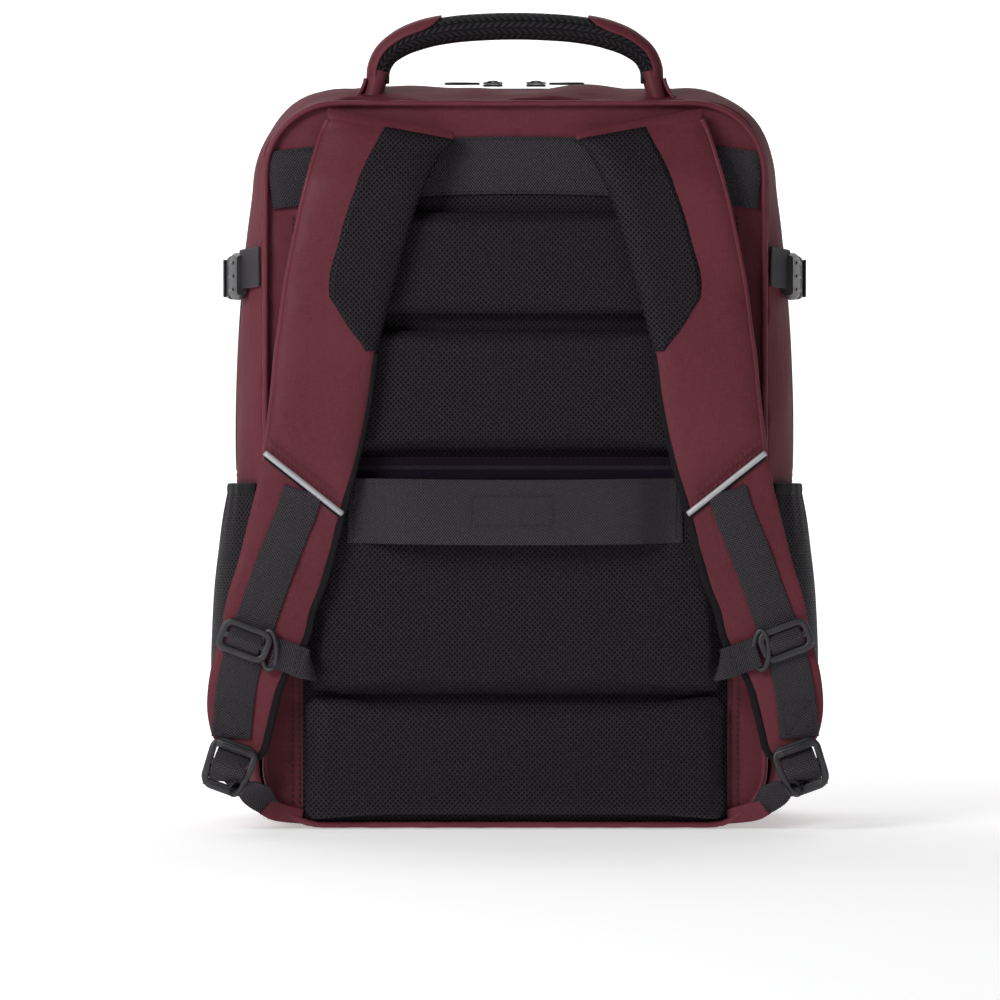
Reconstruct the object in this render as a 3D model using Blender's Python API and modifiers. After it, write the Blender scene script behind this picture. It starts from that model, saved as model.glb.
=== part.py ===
"""Travel backpack, modelled as separate sewn panels, pads, straps and buckles.

Frame: metres, +X to the right when looking at the harness side, +Y away from the
wearer, +Z up.  The origin is the middle of the flat bottom panel.
"""

import math

import bmesh
import bpy
from mathutils import Matrix, Vector

# ---- body ---------------------------------------------------------------------
HALF_WIDTH = 0.158        # back panel seam, half width
HEIGHT = 0.455            # back panel seam, height
R_BOTTOM = 0.038          # lower corner radius
R_TOP = 0.047             # upper corner radius
Y_BACK = -0.090           # outer face of the back panel
Y_FRONT = 0.0875          # front seam
Y_PEAK = 0.012            # depth at which the gusset bulges most
WALL = 0.002              # sewn fabric with its lining
PIPING_INSET = 0.0023      # the piping's middle line runs this far inside the seam
ZIP_END = 0.224           # the main zip runs down to here, just above the side pockets
FOLD_Z = 0.216            # height of the line that the front section folds on
FOLD_Y = 0.1012           # just outside the front's fullest bulge
FRONT_BULGE = 0.010
# ---- back padding -------------------------------------------------------------
PAD_HALF = 0.131
PAD_FACE = -0.1033        # outer face of the back pads
# ---- harness ------------------------------------------------------------------
STRAP_Y = -0.1125         # middle plane of the hanging shoulder straps
STRAP_THICK = 0.011
TAIL_THICK = 0.004
FOLD_TOP = (-0.0773, -0.1005, 0.4360)   # point on the left strap's fold line
WEB_25 = 0.025
HANDLE_R = 0.0085
HANDLE_Y = -0.070
HANDLE_Z = 0.4705

COLOURS = {
    "nylon": ((0.105, 0.026, 0.036), 0.62, 0.0),
    "mesh": ((0.016, 0.013, 0.017), 0.85, 0.0),
    "webbing": ((0.030, 0.027, 0.032), 0.75, 0.0),
    "ziptape": ((0.022, 0.012, 0.024), 0.60, 0.0),
    "lining": ((0.050, 0.048, 0.052), 0.80, 0.0),
    "plastic": ((0.018, 0.017, 0.019), 0.38, 0.0),
    "sheet": ((0.30, 0.30, 0.31), 0.45, 0.0),
    "zinc": ((0.045, 0.043, 0.047), 0.35, 0.6),
}

part = None
cutters = None
bodies = {}


def clear_scene():
    for obj in list(bpy.data.objects):
        bpy.data.objects.remove(obj, do_unlink=True)


def new_collection(name):
    collection = bpy.data.collections.new(name)
    bpy.context.scene.collection.children.link(collection)
    return collection


def paint(obj, name, look):
    """Give the object its own Principled material in one of the named looks."""
    colour, roughness, metallic = COLOURS[look]
    material = bpy.data.materials.new(name)
    material.use_nodes = True
    shader = material.node_tree.nodes["Principled BSDF"]
    shader.inputs["Base Color"].default_value = (*colour, 1.0)
    shader.inputs["Roughness"].default_value = roughness
    shader.inputs["Metallic"].default_value = metallic
    obj.data.materials.append(material)


def body(name, point):
    """An empty on the joint's axis that carries the pieces which move together."""
    empty = bpy.data.objects.new(name, None)
    empty.empty_display_size = 0.02
    empty.location = point
    part.objects.link(empty)
    bodies[name] = Vector(point)
    return empty


def add_mesh(name, points, faces, look, carrier=None):
    """One closed or open mesh given in world metres, hung on its carrier."""
    origin = bodies[carrier.name] if carrier else Vector((0.0, 0.0, 0.0))
    mesh = bpy.data.meshes.new(name)
    mesh.from_pydata([tuple(Vector(p) - origin) for p in points], [], faces)
    shape = bmesh.new()
    shape.from_mesh(mesh)
    bmesh.ops.recalc_face_normals(shape, faces=shape.faces)
    shape.to_mesh(mesh)
    shape.free()
    obj = bpy.data.objects.new(name, mesh)
    part.objects.link(obj)
    if carrier:
        obj.parent = carrier
    paint(obj, name, look)
    return obj


def loft(name, rings, look, carrier=None, closed=False):
    """Skin a row of equal rings; the two ends are capped unless it closes."""
    count = len(rings[0])
    points = [p for ring in rings for p in ring]
    faces = []
    last = len(rings) if closed else len(rings) - 1
    for i in range(last):
        j = (i + 1) % len(rings)
        for k in range(count):
            m = (k + 1) % count
            faces.append((i * count + k, i * count + m, j * count + m, j * count + k))
    if not closed:
        faces.append(tuple(range(count)))
        faces.append(tuple(range((len(rings) - 1) * count, len(rings) * count)))
    return add_mesh(name, points, faces, look, carrier)


def strip(name, path, across, width, thick, look, carrier=None):
    """Flat webbing: a rectangle carried along a path, its width along `across`."""
    path = [Vector(p) for p in path]
    side = Vector(across).normalized()
    rings = []
    for i, point in enumerate(path):
        before = path[max(i - 1, 0)]
        after = path[min(i + 1, len(path) - 1)]
        tangent = (after - before).normalized()
        normal = tangent.cross(side).normalized()
        a = side * width / 2
        b = normal * thick / 2
        rings.append([point - a - b, point + a - b, point + a + b, point - a + b])
    return loft(name, rings, look, carrier)


def patch(name, rows, look, carrier=None, skip=None, thick=WALL):
    """A wall: a grid of points at mid thickness, made solid both ways."""
    wide = len(rows[0])
    points = [p for row in rows for p in row]
    faces = []
    for i in range(len(rows) - 1):
        for k in range(wide - 1):
            if skip and skip(i, k):
                continue
            a = i * wide + k
            faces.append((a, a + 1, a + wide + 1, a + wide))
    used = sorted({v for f in faces for v in f})
    index = {v: n for n, v in enumerate(used)}
    points = [points[v] for v in used]
    faces = [tuple(index[v] for v in f) for f in faces]
    obj = add_mesh(name, points, faces, look, carrier)
    solid = obj.modifiers.new("Wall", "SOLIDIFY")
    solid.thickness = thick
    solid.offset = 0.0
    solid.use_even_offset = True
    return obj


def box(name, low, high, look, carrier=None, bevel=0.0, segments=2, turn=None):
    """A box between two corners, with rounded edges, turned about its middle."""
    low = Vector(low)
    high = Vector(high)
    middle = (low + high) / 2
    size = high - low
    shape = bmesh.new()
    bmesh.ops.create_cube(shape, size=1.0)
    bmesh.ops.scale(shape, vec=size, verts=shape.verts)
    mesh = bpy.data.meshes.new(name)
    shape.to_mesh(mesh)
    shape.free()
    obj = bpy.data.objects.new(name, mesh)
    part.objects.link(obj)
    origin = bodies[carrier.name] if carrier else Vector((0.0, 0.0, 0.0))
    if carrier:
        obj.parent = carrier
    obj.location = middle - origin
    if turn:
        obj.rotation_euler = turn
    if bevel:
        edge = obj.modifiers.new("Edge", "BEVEL")
        edge.width = bevel
        edge.segments = segments
        edge.limit_method = "ANGLE"
    paint(obj, name, look)
    return obj


def cut(obj, low, high, turn=None, middle=None):
    """Take a box out of an object; `middle` turns the cutter about that point."""
    low = Vector(low)
    high = Vector(high)
    centre = (low + high) / 2
    shape = bmesh.new()
    bmesh.ops.create_cube(shape, size=1.0)
    bmesh.ops.scale(shape, vec=high - low, verts=shape.verts)
    mesh = bpy.data.meshes.new("cutter")
    shape.to_mesh(mesh)
    shape.free()
    tool = bpy.data.objects.new("cutter_" + obj.name, mesh)
    cutters.objects.link(tool)
    tool.display_type = "WIRE"
    tool.hide_render = True
    if turn:
        spin = Matrix.Rotation(turn[2], 3, "Z") if turn[2] else Matrix.Rotation(turn[1], 3, "Y")
        tool.location = Vector(middle) + spin @ (centre - Vector(middle))
        tool.rotation_euler = turn
    else:
        tool.location = centre
    hole = obj.modifiers.new("Cut", "BOOLEAN")
    hole.object = tool
    hole.operation = "DIFFERENCE"
    hole.solver = "EXACT"


def merge(obj, other):
    """Join a second closed shape into an object, and keep it with the cutters."""
    part.objects.unlink(other)
    cutters.objects.link(other)
    other.display_type = "WIRE"
    other.hide_render = True
    join = obj.modifiers.new("Join", "BOOLEAN")
    join.object = other
    join.operation = "UNION"
    join.solver = "EXACT"


# ---- the body's outline and bulge ------------------------------------------------


def interpolate(x, xs, ys):
    if x <= xs[0]:
        return ys[0]
    for i in range(len(xs) - 1):
        if x <= xs[i + 1]:
            t = (x - xs[i]) / (xs[i + 1] - xs[i])
            return ys[i] + t * (ys[i + 1] - ys[i])
    return ys[-1]


def edge_x(z):
    """Half width of the rounded seam outline at height z, and its normal."""
    if z < R_BOTTOM:
        s = (R_BOTTOM - z) / R_BOTTOM
        c = math.sqrt(max(1 - s * s, 0.0))
        return HALF_WIDTH - R_BOTTOM + R_BOTTOM * c, (c, -s)
    if z > HEIGHT - R_TOP:
        s = min((z - HEIGHT + R_TOP) / R_TOP, 1.0)
        c = math.sqrt(max(1 - s * s, 0.0))
        return HALF_WIDTH - R_TOP + R_TOP * c, (c, s)
    return HALF_WIDTH, (1.0, 0.0)


def bulge(z):
    """How far the gusset stands outside its seams at its fullest depth."""
    return interpolate(z, (0.0, 0.02, 0.10, 0.24, 0.39, HEIGHT),
                       (0.0, 0.003, 0.012, 0.027, 0.018, 0.016))


def fullness(y):
    span = (Y_PEAK + 0.087) if y < Y_PEAK else (Y_FRONT - Y_PEAK)
    return 1.0 - min(abs((y - Y_PEAK) / span), 1.0) ** 2.2


def gusset_point(x, z, normal, y, side, lift=0.0):
    """Point of the gusset's middle surface; `lift` moves it outwards."""
    out = bulge(z) * fullness(y) - 0.0012 + lift
    return (side * (x + normal[0] * out), y, z + normal[1] * out)


def side_rows(side, heights, depths, lifts=None):
    rows = []
    for z in heights:
        x, normal = edge_x(z)
        rows.append([gusset_point(x, z, normal, y, side, lifts[k] if lifts else 0.0)
                     for k, y in enumerate(depths)])
    return rows


def arch_stations(low=None, steps=5):
    """Stations (x, z, normal, side) from the right side over the top to the left."""
    half = []
    if low is not None:
        for z in (low, 0.26, 0.30, 0.34, 0.375):
            half.append((HALF_WIDTH, z, (1.0, 0.0)))
    for i in range(steps + 1):
        a = math.radians(90.0 * i / steps)
        c, s = math.cos(a), math.sin(a)
        half.append((HALF_WIDTH - R_TOP + R_TOP * c, HEIGHT - R_TOP + R_TOP * s, (c, s)))
    right = [(x, z, n, 1) for x, z, n in half]
    left = [(x, z, n, -1) for x, z, n in reversed(half)]
    return right + left


def arch_rows(stations, depths, lifts=None):
    return [[gusset_point(x, z, n, y, side, lifts[k] if lifts else 0.0)
             for k, y in enumerate(depths)] for x, z, n, side in stations]


def panel_rows(heights, y, bulge_out, columns=8):
    """Rows of a flat or softly bulged panel that fills the seam outline."""
    rows = []
    for z in heights:
        half = edge_x(z)[0]
        v = (z - HEIGHT / 2) / (HEIGHT / 2)
        row = []
        for k in range(columns + 1):
            u = -1.0 + 2.0 * k / columns
            out = bulge_out * (1 - abs(u) ** 4) * (1 - abs(v) ** 4)
            row.append((u * half, y + out, z))
        rows.append(row)
    return rows


def corner_heights(top):
    heights = []
    if top:
        for i in range(5):
            a = math.radians(90.0 * i / 4)
            heights.append(HEIGHT - R_TOP + R_TOP * math.sin(a))
        return heights
    for i in range(5):
        a = math.radians(90.0 * i / 4)
        heights.append(R_BOTTOM - R_BOTTOM * math.cos(a))
    return heights


def make_shell():
    low = corner_heights(False)
    high = corner_heights(True)
    panel = panel_rows(low + [0.15, 0.28] + high, Y_BACK + 0.0015, 0.0, columns=2)
    patch("back_panel", panel, "nylon", thick=0.003)
    box("bottom_panel", (-0.1195, -0.0868, 0.0), (0.1195, 0.0862, 0.003), "nylon")
    box("frame_sheet", (-0.140, -0.0866, 0.020), (0.140, -0.0850, 0.435), "sheet")

    sleeve = box("laptop_sleeve", (-0.143, -0.0846, 0.018), (0.143, -0.0570, 0.300), "lining")
    cut(sleeve, (-0.139, -0.100, 0.022), (0.139, -0.0610, 0.400))

    depths = (-0.0858, -0.072, -0.050, -0.024, 0.0062, 0.028, 0.050, 0.070, 0.0858)
    heights = low + [0.070, 0.10, 0.14, 0.18, ZIP_END - 0.0005, 0.26, 0.30, 0.34, 0.375, 0.4077]
    upper = heights.index(ZIP_END - 0.0005)
    for side, tag in ((-1, "L"), (1, "R")):
        patch("side_gusset_" + tag, side_rows(side, heights, depths), "nylon",
              skip=lambda i, k: i >= upper and k >= 4)
    patch("top_gusset", arch_rows(arch_stations(), depths[:5]), "nylon")

    tape = (0.0068, 0.0098, 0.0102, 0.0140)
    lifts = (0.0, 0.0, 0.0011, 0.0011)
    rear = arch_rows(arch_stations(ZIP_END + 0.0015), tape, lifts)
    patch("main_zip_rear", rear, "ziptape", thick=0.0014)

    patch("front_lower", panel_rows(low + [0.08, 0.12, 0.17, FOLD_Z - 0.0006], Y_FRONT + 0.0017, FRONT_BULGE), "nylon",
          thick=0.003)

    ring = []
    for i in range(7):
        a = math.radians(90.0 * i / 6)
        inset_r = R_BOTTOM - PIPING_INSET
        ring.append((HALF_WIDTH - R_BOTTOM + inset_r * math.sin(a),
                     R_BOTTOM - inset_r * math.cos(a)))
    for i in range(7):
        a = math.radians(90.0 * i / 6)
        inset_r = R_TOP - PIPING_INSET
        ring.append((HALF_WIDTH - R_TOP + inset_r * math.cos(a),
                     HEIGHT - R_TOP + inset_r * math.sin(a)))
    loop = ring + [(-x, z) for x, z in reversed(ring)]
    tube("edge_piping", [(x, -0.0924, z) for x, z in loop], 0.0019, "nylon", cyclic=True)


def tube(name, points, radius, look, carrier=None, cyclic=False, resolution=2):
    """A round bar: a curve with a bevel and filled ends."""
    origin = bodies[carrier.name] if carrier else Vector((0.0, 0.0, 0.0))
    curve = bpy.data.curves.new(name, "CURVE")
    curve.dimensions = "3D"
    curve.bevel_depth = radius
    curve.bevel_resolution = resolution
    curve.use_fill_caps = not cyclic
    spline = curve.splines.new("POLY")
    spline.points.add(len(points) - 1)
    for target, point in zip(spline.points, points):
        target.co = (*(Vector(point) - origin), 1.0)
    spline.use_cyclic_u = cyclic
    spline.use_smooth = True
    obj = bpy.data.objects.new(name, curve)
    part.objects.link(obj)
    if carrier:
        obj.parent = carrier
    paint(obj, name, look)
    return obj


def make_back():
    """Cushioned back, its zip, the cross band and the sleeve for a trolley handle."""
    spans = ((0.3159, 0.3886), (0.2324, 0.3153), (0.0833, 0.2174), (0.0048, 0.0827))
    for number, (low, high) in enumerate(spans, start=1):
        box("back_pad_" + str(number), (-PAD_HALF, PAD_FACE, low), (PAD_HALF, -0.0903, high),
            "mesh", bevel=0.005)
    rows = []
    for x in (-PAD_HALF, 0.0, PAD_HALF):
        rows.append([(x, -0.0942, 0.2180), (x, -0.0942, 0.2226), (x, -0.0955, 0.2228),
                     (x, -0.0955, 0.2270), (x, -0.0942, 0.2272), (x, -0.0942, 0.2318)])
    patch("back_zip", rows, "ziptape", thick=0.0030)

    band = []
    for i in range(9):
        x = -0.1500 + 0.3000 * i / 8
        z = 0.4140 - 0.0100 * (abs(x) / 0.158) ** 2.0
        band.append((x, -0.0914, z))
    strip("top_band", band, (0.0, 0.0, 1.0), 0.036, 0.0020, "webbing")

    sleeve = [(-0.104, -0.1046), (-0.095, -0.1046), (-0.088, -0.1085), (-0.076, -0.1180),
              (-0.068, -0.1215), (-0.035, -0.1225), (0.035, -0.1225), (0.068, -0.1215),
              (0.076, -0.1180), (0.088, -0.1085), (0.095, -0.1046), (0.104, -0.1046)]
    strip("luggage_strap", [(x, y, 0.1985) for x, y in sleeve], (0.0, 0.0, 1.0), 0.041,
          0.0018, "webbing")

    slider = body("back_zip_slide", (0.118, -0.0990, 0.2249))
    box("back_slider", (0.106, -0.1018, 0.2212), (0.122, -0.0980, 0.2286), "zinc", slider,
        bevel=0.001, segments=1)


def pocket_row(z, full, side, depths):
    """One height of a side pocket: from its seams out to `full` at mid depth."""
    row = []
    x, normal = edge_x(z)
    for y in depths:
        base = x + normal[0] * bulge(z) * fullness(y) + 0.0016
        t = abs((y + 0.0025) / 0.0765)
        row.append((side * (base + (full - base) * (1 - t ** 3)), y, z))
    return row


def make_pockets():
    heights = (0.0050, 0.0105, 0.022, 0.038, 0.056, 0.0755)
    widths = (0.1470, 0.1640, 0.1810, 0.1905, 0.1965, 0.2000)
    mesh_heights = (0.0763, 0.093, 0.125, 0.16, 0.19, 0.2120)
    mesh_widths = (0.2002, 0.2015, 0.2010, 0.1990, 0.1965, 0.1945)
    depths = [-0.0025 + 0.0765 * t for t in (-1.0, -0.9, -0.7, -0.35, 0.0, 0.35, 0.7, 0.9, 1.0)]
    for side, tag in ((-1, "L"), (1, "R")):
        rows = [pocket_row(z, w, side, depths) for z, w in zip(heights, widths)]
        patch("pocket_base_" + tag, rows, "nylon", thick=0.0012)
        rows = [pocket_row(z, w, side, depths) for z, w in zip(mesh_heights, mesh_widths)]
        patch("pocket_mesh_" + tag, rows, "mesh", thick=0.0012)


def make_front():
    """Upper front section, its gusset and its half of the main zip, folding forwards."""
    lid = body("front_fold", (0.0, FOLD_Y, FOLD_Z))
    heights = [FOLD_Z + 0.0004, 0.26, 0.31, 0.36] + corner_heights(True)
    patch("front_panel", panel_rows(heights, Y_FRONT + 0.0017, FRONT_BULGE), "nylon", lid,
          thick=0.003)
    stations = arch_stations(ZIP_END + 0.0015)
    depths = (0.0224, 0.044, 0.066, 0.0858)
    patch("front_gusset", arch_rows(stations, depths), "nylon", lid)
    tape = (0.0144, 0.0182, 0.0186, 0.0216)
    rows = arch_rows(stations, tape, (0.0011, 0.0011, 0.0, 0.0))
    patch("main_zip_front", rows, "ziptape", lid, thick=0.0014)


def make_front_pocket():
    """Flat zipped pocket on the fixed lower front, with its slider and puller."""
    box("front_pocket", (-0.118, 0.1014, 0.040), (0.118, 0.1094, 0.200), "nylon", bevel=0.003)
    rows = []
    for x in (-0.108, 0.0, 0.108):
        rows.append([(x, 0.1105, 0.1740), (x, 0.1105, 0.1795), (x, 0.1115, 0.1798),
                     (x, 0.1115, 0.1842), (x, 0.1105, 0.1845), (x, 0.1105, 0.1900)])
    patch("front_zip", rows, "ziptape", thick=0.0014)
    slider = body("front_slide", (0.092, 0.1140, 0.1820))
    box("front_slider", (0.086, 0.1127, 0.1778), (0.098, 0.1161, 0.1862), "zinc", slider,
        bevel=0.001, segments=1)
    puller = body("front_pull", (0.0845, 0.1140, 0.1820))
    puller.parent = slider
    puller.location = bodies["front_pull"] - bodies["front_slide"]
    box("front_puller", (0.0610, 0.1131, 0.1785), (0.0841, 0.1149, 0.1855), "plastic", puller,
        bevel=0.0006, segments=1)


def make_main_sliders():
    top = HEIGHT + bulge(HEIGHT) + 0.0024
    for side, tag in ((-1, "L"), (1, "R")):
        slider = body("main_slide_" + tag, (side * 0.014, 0.0142, top))
        xs = sorted((side * 0.0075, side * 0.0205))
        box("main_slider_" + tag, (xs[0], 0.0092, top), (xs[1], 0.0192, top + 0.0038), "zinc",
            slider, bevel=0.001, segments=1)
        hinge = body("main_pull_" + tag, (side * 0.0222, 0.0142, top + 0.0021))
        hinge.parent = slider
        hinge.location = bodies["main_pull_" + tag] - bodies["main_slide_" + tag]
        xs = sorted((side * 0.0226, side * 0.0455))
        box("main_puller_" + tag, (xs[0], 0.0107, top + 0.0012), (xs[1], 0.0177, top + 0.0030),
            "plastic", hinge, bevel=0.0006, segments=1)


def make_handle():
    handle = body("handle_pivot", (0.0, HANDLE_Y, HANDLE_Z))
    half = [(0.0855, HANDLE_Z - 0.003), (0.0850, 0.4765), (0.0815, 0.4840), (0.0725, 0.4915),
            (0.0580, 0.4975), (0.0390, 0.5012), (0.0190, 0.5028)]
    arch = [(-x, HANDLE_Y, z) for x, z in half]
    arch += [(x, HANDLE_Y, z) for x, z in reversed(half)]
    tube("grab_handle", arch, HANDLE_R, "mesh", handle, resolution=3)
    for side, tag in ((-1, "L"), (1, "R")):
        xs = sorted((side * 0.0946, side * 0.0976))
        box("handle_lug_" + tag, (xs[0], HANDLE_Y - 0.0075, 0.4636),
            (xs[1], HANDLE_Y + 0.0075, 0.4780), "nylon", bevel=0.001, segments=1)


# ---- shoulder straps -------------------------------------------------------------

STATIONS = (
    # outer x, outer z, inner x, inner z, thickness
    (-0.1166, 0.4434, -0.0380, 0.4286, STRAP_THICK),
    (-0.1225, 0.4281, -0.0475, 0.4190, STRAP_THICK),
    (-0.1325, 0.3900, -0.0620, 0.3870, STRAP_THICK),
    (-0.1415, 0.3463, -0.0730, 0.3480, STRAP_THICK),
    (-0.1440, 0.3300, -0.0775, 0.3310, STRAP_THICK),
    (-0.1465, 0.3100, -0.0825, 0.3130, STRAP_THICK),
    (-0.1487, 0.2944, -0.0865, 0.2950, STRAP_THICK),
    (-0.1510, 0.2700, -0.0905, 0.2660, STRAP_THICK),
    (-0.1535, 0.2480, -0.0958, 0.2390, STRAP_THICK),
    (-0.1550, 0.2350, -0.1065, 0.1970, 0.0080),
    (-0.1560, 0.2300, -0.1075, 0.1930, TAIL_THICK),
    (-0.1706, 0.1706, -0.1170, 0.1565, TAIL_THICK),
    (-0.1784, 0.1446, -0.1246, 0.1369, TAIL_THICK),
    (-0.1830, 0.1206, -0.1300, 0.1165, TAIL_THICK),
    (-0.1885, 0.1006, -0.1440, 0.0930, TAIL_THICK),
    (-0.1909, 0.0820, -0.1485, 0.0775, TAIL_THICK),
    (-0.1900, 0.0680, -0.1525, 0.0610, TAIL_THICK),
    (-0.1860, 0.0560, -0.1560, 0.0490, TAIL_THICK),
    (-0.1760, 0.0465, -0.1640, 0.0425, 0.0030),
)


def strap_mid_y(z):
    """Depth of the strap's middle plane, which comes forward below the fold."""
    return interpolate(z, (0.395, 0.402, 0.412, 0.425, 0.436),
                       (STRAP_Y, -0.1120, -0.1092, -0.1045, FOLD_TOP[1]))


def strap_point(station, u, face, side, lift=0.0):
    """Point across a station: u runs -1 outer to 1 inner, face -1 is the front."""
    xo, zo, xi, zi, thick = station
    x = (xo + xi) / 2 + u * (xi - xo) / 2
    z = (zo + zi) / 2 + u * (zi - zo) / 2
    crown = math.sqrt(max(1 - abs(u) ** 5, 0.0)) * thick / 2 + lift
    return (-side * x, strap_mid_y(z) + face * crown, z)


def strap_ring(station, side):
    front = [strap_point(station, u, -1, side) for u in (-1, -0.93, -0.65, 0.0, 0.65, 0.93, 1)]
    back = [strap_point(station, u, 1, side) for u in (0.93, 0.65, 0.0, -0.65, -0.93)]
    return front + back


def make_strap(side, tag):
    """One shoulder strap; `side` is -1 for the left and 1 for the right."""
    pivot = (side * 0.0773, FOLD_TOP[1], FOLD_TOP[2])
    strap = body("strap_fold_" + tag, pivot)

    rings = []
    first = STATIONS[0]
    up = Vector((-0.185, 0.983))
    for rise, thick in ((0.0052, 0.0040), (0.0036, 0.0082)):
        xo, zo, xi, zi = first[:4]
        rings.append(strap_ring((xo - up[0] * rise, zo + up[1] * rise,
                                 xi - up[0] * rise, zi + up[1] * rise, thick), side))
    for station in STATIONS:
        rings.append(strap_ring(station, side))
    loft("strap_pad_" + tag, rings, "nylon", strap)

    seam = (-0.11, -0.07, -0.15, -0.18, -0.12, 0.40, 0.84)
    rings = []
    for station, start in zip(STATIONS, seam):
        us = [start + (0.90 - start) * k / 3 for k in range(4)]
        front = [strap_point(station, u, -1, side, 0.0019) for u in us]
        back = [strap_point(station, u, -1, side, 0.0004) for u in reversed(us)]
        rings.append(front + back)
    loft("strap_mesh_" + tag, rings, "mesh", strap)

    centre = ((0.1335, 0.2030), (0.1455, 0.1720), (0.1595, 0.1330), (0.1655, 0.1160),
              (0.1710, 0.0970), (0.1745, 0.0740), (0.1758, 0.0560))
    path = [(side * x, -0.1157, z) for x, z in centre]
    strip("strap_webbing_" + tag, path, (side * 0.944, 0.0, 0.330), WEB_25 - 0.001, 0.0016,
          "webbing", strap)
    box("strap_anchor_" + tag, sorted_low(side * 0.0560, side * 0.1120, -0.0944, 0.4000),
        sorted_high(side * 0.0560, side * 0.1120, -0.0927, 0.4440), "nylon")
    return strap


def sorted_low(a, b, y, z):
    return (min(a, b), y, z)


def sorted_high(a, b, y, z):
    return (max(a, b), y, z)


def make_chest_slide(side, tag, strap):
    """Three-bar slide on the strap webbing with its short web and buckle half."""
    carrier = body("chest_slide_" + tag, (side * 0.1672, -0.1189, 0.1180))
    carrier.parent = strap
    carrier.location = bodies[carrier.name] - bodies[strap.name]
    tilt = (0.0, side * math.radians(-21), 0.0)
    middle = Vector((side * 0.1672, -0.1189, 0.1180))
    half = Vector((0.0130, 0.0019, 0.0085))
    slide = box("chest_slider_" + tag, middle - half, middle + half, "plastic", carrier,
                bevel=0.0008, segments=1, turn=tilt)
    for offset in (-0.0044, 0.0044):
        slot = Vector((middle[0], middle[1], middle[2] + offset))
        half = Vector((0.0102, 0.0060, 0.0021))
        cut(slide, slot - half, slot + half, turn=tilt, middle=middle)
    rings = []
    for k in range(14):
        a = 2 * math.pi * k / 14
        out = Vector((math.cos(a), 0.0, math.sin(a)))
        centre = Vector((side * 0.1522 + 0.0040 * out.x, -0.1189, 0.1125 + 0.0125 * out.z))
        ring = []
        for m in range(6):
            b = math.pi * m / 3
            ring.append(centre + 0.0016 * (math.cos(b) * out + math.sin(b) * Vector((0, 1, 0))))
        rings.append(ring)
    merge(slide, loft("loop_" + tag, rings, "plastic", None, closed=True))

    front = ((0.1430, -0.1179), (0.1340, -0.1179), (0.1280, -0.1165), (0.1262, -0.1133),
             (0.1280, -0.1101), (0.1340, -0.1089), (0.1465, -0.1089))
    path = [(side * x, y, 0.1040 + 0.38 * (x - 0.131)) for x, y in front]
    strip("chest_web_" + tag, path, (side * 0.30, 0.0, 0.95), 0.0190, 0.0014, "webbing",
          carrier)
    xs = sorted((side * 0.1510, side * 0.1770))
    box("chest_buckle_" + tag, (xs[0], -0.1096, 0.0985), (xs[1], -0.0998, 0.1175), "plastic",
        carrier, bevel=0.0015, segments=1)


def make_lower_buckle(side, tag, strap):
    """Ladder lock at the strap's tip and the web that comes up to it."""
    lock = body("lock_tilt_" + tag, (side * 0.1755, -0.1195, 0.0530))
    lock.parent = strap
    lock.location = bodies[lock.name] - bodies[strap.name]
    tilt = (0.0, side * math.radians(-20), 0.0)
    middle = (side * 0.1770, -0.1195, 0.0400)
    frame = box("ladder_lock_" + tag, (middle[0] - 0.0125, -0.1215, 0.0255),
                (middle[0] + 0.0125, -0.1175, 0.0545), "plastic", lock, bevel=0.0010,
                segments=1, turn=tilt)
    for offset in (-0.0070, 0.0070):
        cut(frame, (middle[0] - 0.0095, -0.1240, 0.0400 + offset - 0.0020),
            (middle[0] + 0.0095, -0.1130, 0.0400 + offset + 0.0020), turn=tilt, middle=middle)
    web = body("lower_web_" + tag, (side * 0.1515, -0.0962, 0.0120))
    strip("anchor_web_" + tag, [(side * 0.1515, -0.0962, 0.0120), (side * 0.1610, -0.1045, 0.0225),
                                (side * 0.1700, -0.1125, 0.0325)],
          (side * 0.76, 0.0, -0.65), 0.0190, 0.0015, "webbing", web)


def make_compression(side, tag):
    """Side release buckle on a short web over the side gusset."""
    level = 0.347
    x, normal = edge_x(level)
    path = []
    for y in (-0.0855, -0.078, -0.070, -0.062):
        lift = 0.0030 + 0.0030 * (y + 0.0855) / 0.0235
        path.append(gusset_point(x, level + 0.004, normal, y, side, lift))
    strip("side_web_" + tag, path, (0.0, 0.0, 1.0), 0.0250, 0.0015, "webbing")

    angle = math.radians(14)
    turn = (0.0, 0.0, -side * angle)
    along = Vector((side * math.sin(angle), math.cos(angle), 0.0))
    seat = Vector(gusset_point(x, level, normal, -0.045, side, 0.0070))

    def block(name, start, end, high, thick, look, carrier):
        middle = seat + along * (start + end) / 2
        half = Vector((thick / 2, (end - start) / 2, high / 2))
        return box(name, middle - half, middle + half, look, carrier, bevel=0.0009,
                   segments=1, turn=turn)

    female = block("side_buckle_" + tag, -0.0150, 0.0120, 0.0300, 0.0078, "plastic", None)
    slot_mid = seat + along * 0.0060
    half = Vector((0.0020, 0.0140, 0.0112))
    cut(female, slot_mid - half, slot_mid + half, turn=turn, middle=slot_mid)

    clip = body("side_release_" + tag, seat + along * 0.0190)
    male = block("side_male_" + tag, 0.0125, 0.0240, 0.0280, 0.0070, "plastic", clip)
    merge(male, block("side_tongue_" + tag, -0.0050, 0.0150, 0.0200, 0.0030, "plastic", None))


def main():
    global part, cutters
    clear_scene()
    part = new_collection("travel_backpack")
    cutters = new_collection("cutters")
    make_shell()
    make_back()
    make_pockets()
    make_front()
    make_front_pocket()
    make_main_sliders()
    make_handle()
    for side, tag in ((-1, "L"), (1, "R")):
        strap = make_strap(side, tag)
        make_chest_slide(side, tag, strap)
        make_lower_buckle(side, tag, strap)
        make_compression(side, tag)


main()
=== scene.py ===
"""Travel backpack: nylon shell, cushioned mesh back, shoulder straps, zips and buckles."""

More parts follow.
